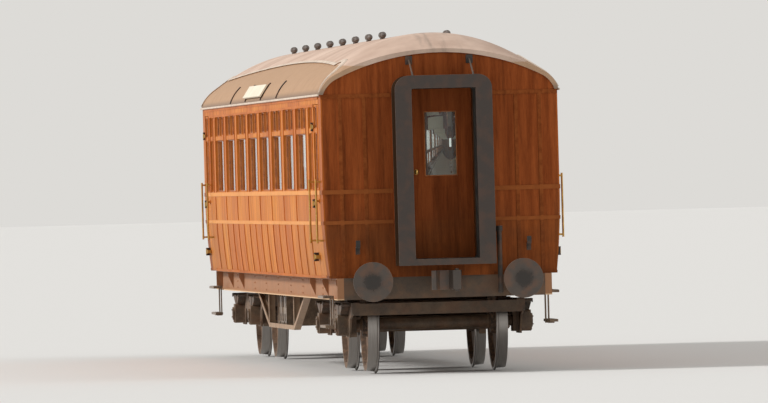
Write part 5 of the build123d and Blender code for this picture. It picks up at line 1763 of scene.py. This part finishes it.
@dataclass
class Gangway:
    """The corridor connections at both ends: frames, pleated bellows and their hangers."""

    workshop: Workshop
    plate_x: float = 9.8425
    wall_x: float = 9.3932
    front_x: float = 9.8018
    inner: tuple[float, float, float] = (0.404, 1.318, 3.316)
    outer: tuple[float, float, float] = (0.508, 1.28, 3.396)
    corner: float = 0.07
    pleats: int = 11
    cloth: float = 0.005
    mean_rise: float = 0.82
    mean_girth: float = 1.1
    sag: float = 0.004
    sag_scale: tuple[float, float, float] = (3.0, 2.2, 9.0)
    rivet_y: float = 0.465
    rivet_low: float = 1.4
    rivet_top: float = 3.36
    rivet_inner: float = 0.12
    rivet_step: float = 0.22
    iron: tuple[float, float] = (9.300, 0.965)
    iron_width: float = 0.05

    def dress(self) -> None:
        """Puts the finishes on the gangways' nodes."""
        self.workshop.wardrobe.dress(GANGWAY, "gangway_frames")

    def ring(self, shape: Shape) -> list[bmesh.types.BMEdge]:
        """Adds the bellows' first loop, round the doorway on the end wall.

        Args:
            shape: The shape it joins.

        Returns:
            The loop's edges.
        """
        half, low, high = self.inner
        turn = Matrix.Rotation(math.pi / 2, 4, "Y") @ Matrix.Diagonal((high - low, 2 * half, 1.0, 1.0))
        move = Matrix.Translation((self.wall_x, 0, (low + high) / 2)) @ turn
        bmesh.ops.create_grid(shape, x_segments=1, y_segments=1, size=0.5, matrix=move)
        soft = {"segments": 5, "profile": 0.5, "material": -1}
        bmesh.ops.bevel(shape, geom=shape.verts[:], offset=self.corner, affect="VERTICES", **soft)
        bmesh.ops.delete(shape, geom=shape.faces[:], context="FACES_ONLY")
        long = [edge for edge in shape.edges if edge.calc_length() > 0.5]
        bmesh.ops.subdivide_edges(shape, edges=long, cuts=7)
        return shape.edges[:]

    def pleat(self, shape: Shape, edges: list[bmesh.types.BMEdge]) -> None:
        """Draws the pleats out of the first loop.

        Each step widens the loop to the outer size and back, and shifts it to the outer middle.

        Args:
            shape: The shape.
            edges: The first loop.
        """
        half, low, high = self.inner
        full, bottom, top = self.outer
        share = (full / half, (top - bottom) / (high - low))
        rise, middle = (top + bottom) / 2, (high + low) / 2
        steps = 4 * self.pleats
        run = (self.front_x - self.wall_x) / steps
        past = 0.0
        for step in range(1, steps + 1):
            fold = math.sin(math.pi * step / 4) ** 2
            made = bmesh.ops.extrude_edge_only(shape, edges=edges)["geom"]
            moved = verts_of(made)
            edges = [item for item in made if isinstance(item, bmesh.types.BMEdge)]
            edges = [edge for edge in edges if all(vert in moved for vert in edge.verts)]
            grow = [(1 + (whole - 1) * fold) / (1 + (whole - 1) * past) for whole in share]
            was, level = (middle + (rise - middle) * part for part in (past, fold))
            move = Matrix.Translation((run, 0, level)) @ Matrix.Diagonal((1, *grow, 1))
            bmesh.ops.transform(shape, matrix=move @ Matrix.Translation((0, 0, -was)), verts=moved)
            past = fold

    def build_bellows(self) -> None:
        """Makes the folded cloth of both bellows, which stands for the plain ones."""
        shape = bmesh.new()
        edges = self.ring(shape)
        self.pleat(shape, edges)
        depth = self.front_x - self.wall_x
        for vert in shape.verts:
            spot = [part * scale for part, scale in zip(vert.co.yzx, self.sag_scale)]
            sag = noise.noise(Vector(spot))
            pull = self.sag * sag * math.sin(math.pi * (vert.co.x - self.wall_x) / depth)
            vert.co.y -= math.copysign(max(pull, -0.001), vert.co.y)
        bmesh.ops.recalc_face_normals(shape, faces=shape.faces)
        bmesh.ops.solidify(shape, geom=shape.faces[:], thickness=self.cloth)
        for end in End:
            half = shape.copy()
            half.transform(end.turn)
            piece = self.workshop.piece(half, f"bellows_{end.value}", COACH, BELLOWS, "bellows_cloth")
            if end is End.FRONT:
                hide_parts("gangway_bellows")
        shape.free()

    def build_fastenings(self) -> None:
        """Makes the face plates' rivets, the hangers and the lamp irons."""
        face, step = self.plate_x - 0.004, self.rivet_step
        places = [(face, self.rivet_y, self.rivet_low + step * index) for index in range(9)]
        places += [(face, self.rivet_inner + step * index, self.rivet_top) for index in range(2)]
        rivets = repeat(rivet(0.009), four_ways(places, (1, 0, 0)))
        self.workshop.piece(rivets, "gangway_rivets", COACH, GANGWAY, "frame_steel")
        feet = bmesh.new()
        slab(feet, *HANGER_FOOT, 0.003)
        doubled(feet, FLIP_Y, FLIP_X, HALF_TURN)
        hangers = repeat(bar(HANGER, 0.011), (Matrix(), FLIP_Y, FLIP_X, HALF_TURN))
        hangers.from_mesh(as_mesh(feet))
        self.workshop.piece(hangers, "gangway_hangers", COACH, BLACK, "frame_steel")
        x, y = self.iron
        irons = bmesh.new()
        plate(irons, [(x + out, y, z) for out, z in LAMP_IRON], (0, self.iron_width, 0))
        doubled(irons, FLIP_Y, FLIP_X, HALF_TURN)
        self.workshop.piece(irons, "lamp_irons", COACH, BLACK, "frame_steel")

    def build(self) -> None:
        """Dresses the nodes and makes the gangways' own pieces."""
        self.dress()
        self.build_bellows()
        self.build_fastenings()


@dataclass
class Underframe:
    """The underframe with its boxes, cylinders, steps and buffers."""

    workshop: Workshop
    web_y: float = 1.172
    flange_y: float = 1.242
    crossbars: tuple[float, ...] = (-BOGIE_X, -3.7, -1.9, 0.0, 1.9, 3.7, BOGIE_X)
    rivet_rows: tuple[float, ...] = (0.925, 1.003, 1.081)
    top_row: float = 1.095
    rivet_aside: float = 0.05
    rivet_step: float = 0.25
    rivet_gap: float = 0.12
    bracket_z: tuple[float, float, float] = (0.905, 1.112, 1.06)
    bracket_half: float = 0.006
    bracket_gap: float = 0.16
    buffer_base_x: float = 9.3675
    buffer_bolt: tuple[float, float] = (0.115, 0.1)
    box_x: tuple[float, float] = (0.3, 1.6)
    box_y: float = 1.06
    box_z: tuple[float, float] = (0.478, 0.908)
    lid_width: float = 0.57
    hinge_inset: float = 0.12
    iron_edge: float = 0.0015
    step_x: tuple[float, float] = (8.17, 8.87)
    step_tops: tuple[float, float] = (0.928, 0.588)
    tread_rows: tuple[float, ...] = (1.275, 1.3, 1.325, 1.35)

    def dress(self) -> None:
        """Puts the finishes on the underframe's nodes."""
        dress = self.workshop.wardrobe.dress
        dress(SOLEBAR, "underframe")
        dress(TRUSS, "truss_rods")
        dress(DUSTY, "brake_cylinders", "dynamo")
        dress(STEP_WOOD, "footsteps", "battery_boxes")
        dress(BUFFER, "buffers")
        dress(STEEL, "couplers")
        dress(BLACK, "pipe_stubs")

    def clear(self, x: float, gap: float) -> bool:
        """Whether a place along a solebar is clear of its crossbars."""
        return all(abs(x - bar_x) > gap for bar_x in self.crossbars)

    def build_rivets(self) -> None:
        """Makes the rivets and the body brackets along both solebars."""
        ends = [x + way * self.rivet_aside for x in self.crossbars for way in (-1, 1)]
        places = [(x, self.web_y, z) for x in ends for z in self.rivet_rows]
        between = [index * self.rivet_step for index in range(-36, 37)]
        places += [(x, self.web_y, self.top_row) for x in between if self.clear(x, self.rivet_gap)]
        rivets = repeat(rivet(0.011), both_ways(places, (0, 1, 0)))
        self.workshop.piece(rivets, "solebar_rivets", COACH, SOLEBAR, "frame_steel")
        low, high, lip = self.bracket_z
        outer = self.flange_y - 0.003
        profile = ((self.web_y, low), (self.web_y, high), (outer, high), (outer, lip))
        shape = bmesh.new()
        for index in range(-5, 6):
            x = index * BAY
            if self.clear(x, self.bracket_gap):
                outline = [(x - self.bracket_half, y, z) for y, z in profile]
                plate(shape, outline, (2 * self.bracket_half, 0, 0))
        doubled(shape, FLIP_Y)
        self.workshop.piece(shape, "body_brackets", COACH, SOLEBAR, "frame_steel")

    def build_end_bolts(self) -> None:
        """Makes the bolts that hold the buffers."""
        aside, rise = self.buffer_bolt
        offsets = [(y, z) for y in (-aside, aside) for z in (-rise, rise)]
        places = [(self.buffer_base_x, BUFFER_Y + y, BUFFER_Z + z) for y, z in offsets]
        bolts = repeat(bolt(0.016), four_ways(places, (1, 0, 0)))
        self.workshop.piece(bolts, "buffer_bolts", COACH, STEEL, "frame_steel")

    def tab(self, shape: Shape, x: float, half: float, out: Place, z: Place) -> None:
        """Adds a thin iron to a battery box's front.

        Args:
            shape: The shape it joins.
            x: Its middle.
            half: Half its width.
            out: How far its back and its face stand out of the box.
            z: Its lowest and its highest level.
        """
        low, high = ((x + way * half, self.box_y + y, level) for way, y, level in zip((-1, 1), out, z))
        slab(shape, low, high, self.iron_edge)

    def build_box_fittings(self) -> None:
        """Makes the strap hinges and hasps of the battery boxes."""
        low, high = self.box_z
        shape = bmesh.new()
        hinges = []
        for left in (self.box_x[0] + 0.05, sum(self.box_x) / 2 + 0.03):
            right = left + self.lid_width
            for at in (left + self.hinge_inset, right - self.hinge_inset):
                self.tab(shape, at, 0.018, (-0.0095, -0.004), (high - 0.2, high - 0.062))
                self.tab(shape, at, 0.03, (-0.001, 0.005), (high - 0.058, high - 0.028))
                hinges.append(Matrix.Translation((at, self.box_y + 0.006, high - 0.06)))
            at = (left + right) / 2
            self.tab(shape, at, 0.02, (-0.0095, -0.003), (low + 0.064, low + 0.15))
            self.tab(shape, at, 0.028, (-0.001, 0.006), (low + 0.022, low + 0.056))
        knuckle = bar(((-0.034, 0, 0), (0.034, 0, 0)), 0.008)
        shape.from_mesh(as_mesh(repeat(knuckle, hinges)))
        doubled(shape, HALF_TURN)
        self.workshop.piece(shape, "battery_box_fittings", COACH, BLACK, "frame_steel")

    def build_treads(self) -> None:
        """Makes the worn strips that give a foothold on the steps."""
        shape = bmesh.new()
        low, high = self.step_x
        for top, rows in zip(self.step_tops, (self.tread_rows, self.tread_rows[:-1])):
            for y in rows:
                slab(shape, (low, y, top - 0.001), (high, y + 0.01, top + 0.003), 0.001)
        doubled(shape, FLIP_Y, FLIP_X, HALF_TURN)
        self.workshop.piece(shape, "step_treads", COACH, STEEL, "frame_steel")

    def build(self) -> None:
        """Dresses the nodes and makes the underframe's own pieces."""
        self.dress()
        self.build_rivets()
        self.build_end_bolts()
        self.build_box_fittings()
        self.build_treads()


@dataclass
class RunningGear:
    """Both bogies and their wheelsets."""

    workshop: Workshop
    frame_y: float = 1.007
    top_row: float = 0.795
    rivet_step: float = 0.17
    stay_x: float = 0.285
    stay_half: float = 0.03
    stay_rows: tuple[float, float] = (0.68, 0.735)
    horn: float = 0.1755
    horn_rows: tuple[float, ...] = (0.5, 0.56, 0.62, 0.68)
    cover_y: float = 1.155
    cover_bolts: float = 0.064
    rod_y: float = 0.2
    rod_z: float = 0.563
    rod_reach: float = 0.62

    def dress(self) -> None:
        """Puts the finishes on the bogies' nodes."""
        dress = self.workshop.wardrobe.dress
        for end in End:
            name = f"bogie_{end.value}"
            dress(DUSTY, *(f"{name}_{part}" for part in ("frame", "bolster", "axleboxes", "brakes")))
            dress(SPRING, f"{name}_springs")
        axles = [middle + way * HALF_BASE for middle in (BOGIE_X, -BOGIE_X) for way in (1, -1)]
        for number, x in enumerate(axles, 1):
            dress(WheelSteel(f"wheel_steel_{number}", x), f"wheelset_{number}_wheels")
            dress(DUSTY, f"wheelset_{number}_axle")

    def cover_places(self, axle: float) -> list[tuple[float, float, float]]:
        """Where the four bolts of an axlebox cover stand.

        Args:
            axle: The axle's place.

        Returns:
            The four places.
        """
        radius, found = self.cover_bolts, []
        for quarter in range(4):
            angle = math.pi / 4 + quarter * math.pi / 2
            out, up = radius * math.cos(angle), radius * math.sin(angle)
            found.append((axle + out, self.cover_y, AXLE_Z + up))
        return found

    def build_bogie(self, end: End, x: float) -> None:
        """Makes one bogie's rivets, cover bolts and pull rods.

        Args:
            end: Its end of the coach.
            x: Its middle.
        """
        body, name = f"{end.value}_bogie", f"bogie_{end.value}"
        axles = (x - HALF_BASE, x + HALF_BASE)
        places = [(x + self.rivet_step * index, self.frame_y, self.top_row) for index in range(-10, 11)]
        steps = (-self.stay_half, self.stay_half)
        stays = [x + way * self.stay_x + step for way in (-1, 1) for step in steps]
        places += [(at, self.frame_y, z) for at in stays for z in self.stay_rows]
        horns = [axle + way * self.horn for axle in axles for way in (-1, 1)]
        places += [(at, self.frame_y, z) for at in horns for z in self.horn_rows]
        rivets = repeat(rivet(0.01), both_ways(places, (0, 1, 0)))
        self.workshop.piece(rivets, f"{name}_rivets", body, DUSTY, "bogie_iron")
        bolts = [place for axle in axles for place in self.cover_places(axle)]
        covers = repeat(bolt(0.009), both_ways(bolts, (0, 1, 0)))
        self.workshop.piece(covers, f"{name}_cover_bolts", body, DUSTY, "bogie_iron")
        rod = bar([(x + way * self.rod_reach, self.rod_y, self.rod_z) for way in (-1, 1)], 0.014)
        rods = repeat(rod, (Matrix(), FLIP_Y))
        self.workshop.piece(rods, f"{name}_pull_rods", body, DUSTY, "bogie_iron")

    def build(self) -> None:
        """Dresses the nodes and makes the bogies' own pieces."""
        self.dress()
        self.build_bogie(End.FRONT, BOGIE_X)
        self.build_bogie(End.REAR, -BOGIE_X)


@dataclass
class Studio:
    """The floor, the light and the camera."""

    eye: tuple[float, float, float] = (141.44, -12.46, 2.22)
    aim: tuple[float, float, float] = (0.0, 0.158, 1.986)
    roll: float = 0.0269
    lens: float = 540.0
    floor_size: float = 1200.0
    pale: Colour = linear(226, 224, 220)

    def build(self) -> None:
        """Makes the floor, the lamps, the world and the camera."""
        self.build_floor()
        self.build_world()
        self.build_lamp("key_lamp", Vector((0.06, 0.85, -0.5)), 2.4, 12.0)
        self.build_lamp("fill_lamp", Vector((-0.5, -0.6, -0.6)), 0.5, 40.0)
        self.build_camera()
        bpy.context.scene.view_settings.view_transform = "Standard"

    def build_floor(self) -> None:
        """Makes the plain pale floor under the wheels."""
        shape = bmesh.new()
        bmesh.ops.create_grid(shape, x_segments=1, y_segments=1, size=self.floor_size / 2)
        floor = placed("studio_floor", as_mesh(shape, "studio_floor"))
        material = bpy.data.materials.new("studio_floor")
        material.use_nodes = True
        shader = material.node_tree.nodes["Principled BSDF"]
        shader.inputs["Base Color"].default_value = (*self.pale, 1.0)
        shader.inputs["Roughness"].default_value = 0.9
        floor.data.materials.append(material)

    def build_world(self) -> None:
        """Makes a plain pale surround, brighter to the camera than to the coach."""
        world = bpy.data.worlds.new("studio")
        world.use_nodes = True
        bpy.context.scene.world = world
        graph = Graph(world.node_tree)
        inputs = world.node_tree.nodes["Background"].inputs
        camera = graph.add("LightPath", out="Is Camera Ray")
        seen = camera.most(camera.beside("Is Glossy Ray")).most(camera.beside("Is Transmission Ray"))
        graph.give(inputs["Color"], graph.mix(seen, (1.0, 1.0, 1.0), self.pale))
        graph.give(inputs["Strength"], 0.5 + seen * 0.45)

    def build_lamp(self, name: str, direction: Vector, strength: float, softness: float) -> None:
        """Makes a soft distant lamp.

        Args:
            name: The lamp's name.
            direction: The way its light goes.
            strength: Its strength.
            softness: Its width as seen from the coach, in degrees.
        """
        lamp = bpy.data.lights.new(name, "SUN")
        lamp.energy = strength
        lamp.angle = math.radians(softness)
        placed(name, lamp).rotation_euler = direction.to_track_quat("-Z", "Y").to_euler()

    def build_camera(self) -> None:
        """Makes the camera where the photograph was taken, aimed at the coach."""
        camera = bpy.data.cameras.new("camera")
        camera.lens = self.lens
        camera.sensor_width = 36.0
        camera.clip_end = 4000.0
        made = placed("camera", camera)
        look = Vector(self.aim) - Vector(self.eye)
        turn = look.to_track_quat("-Z", "Y").to_matrix().to_4x4()
        made.matrix_world = Matrix.Translation(self.eye) @ turn @ Matrix.Rotation(-self.roll, 4, "Z")
        bpy.context.scene.camera = made


def main() -> None:
    """Loads the frame, dresses it and adds every piece in order."""
    logging.basicConfig(level=logging.INFO, format="%(name)s: %(message)s")
    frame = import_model()
    Studio().build()
    workshop = Workshop(Wardrobe(frame["nodes"]))
    for section in (Body, Saloon, Gangway, Underframe, RunningGear):
        log.info("building %s", section.__name__)
        section(workshop).build()


if __name__ == "__main__":
    main()
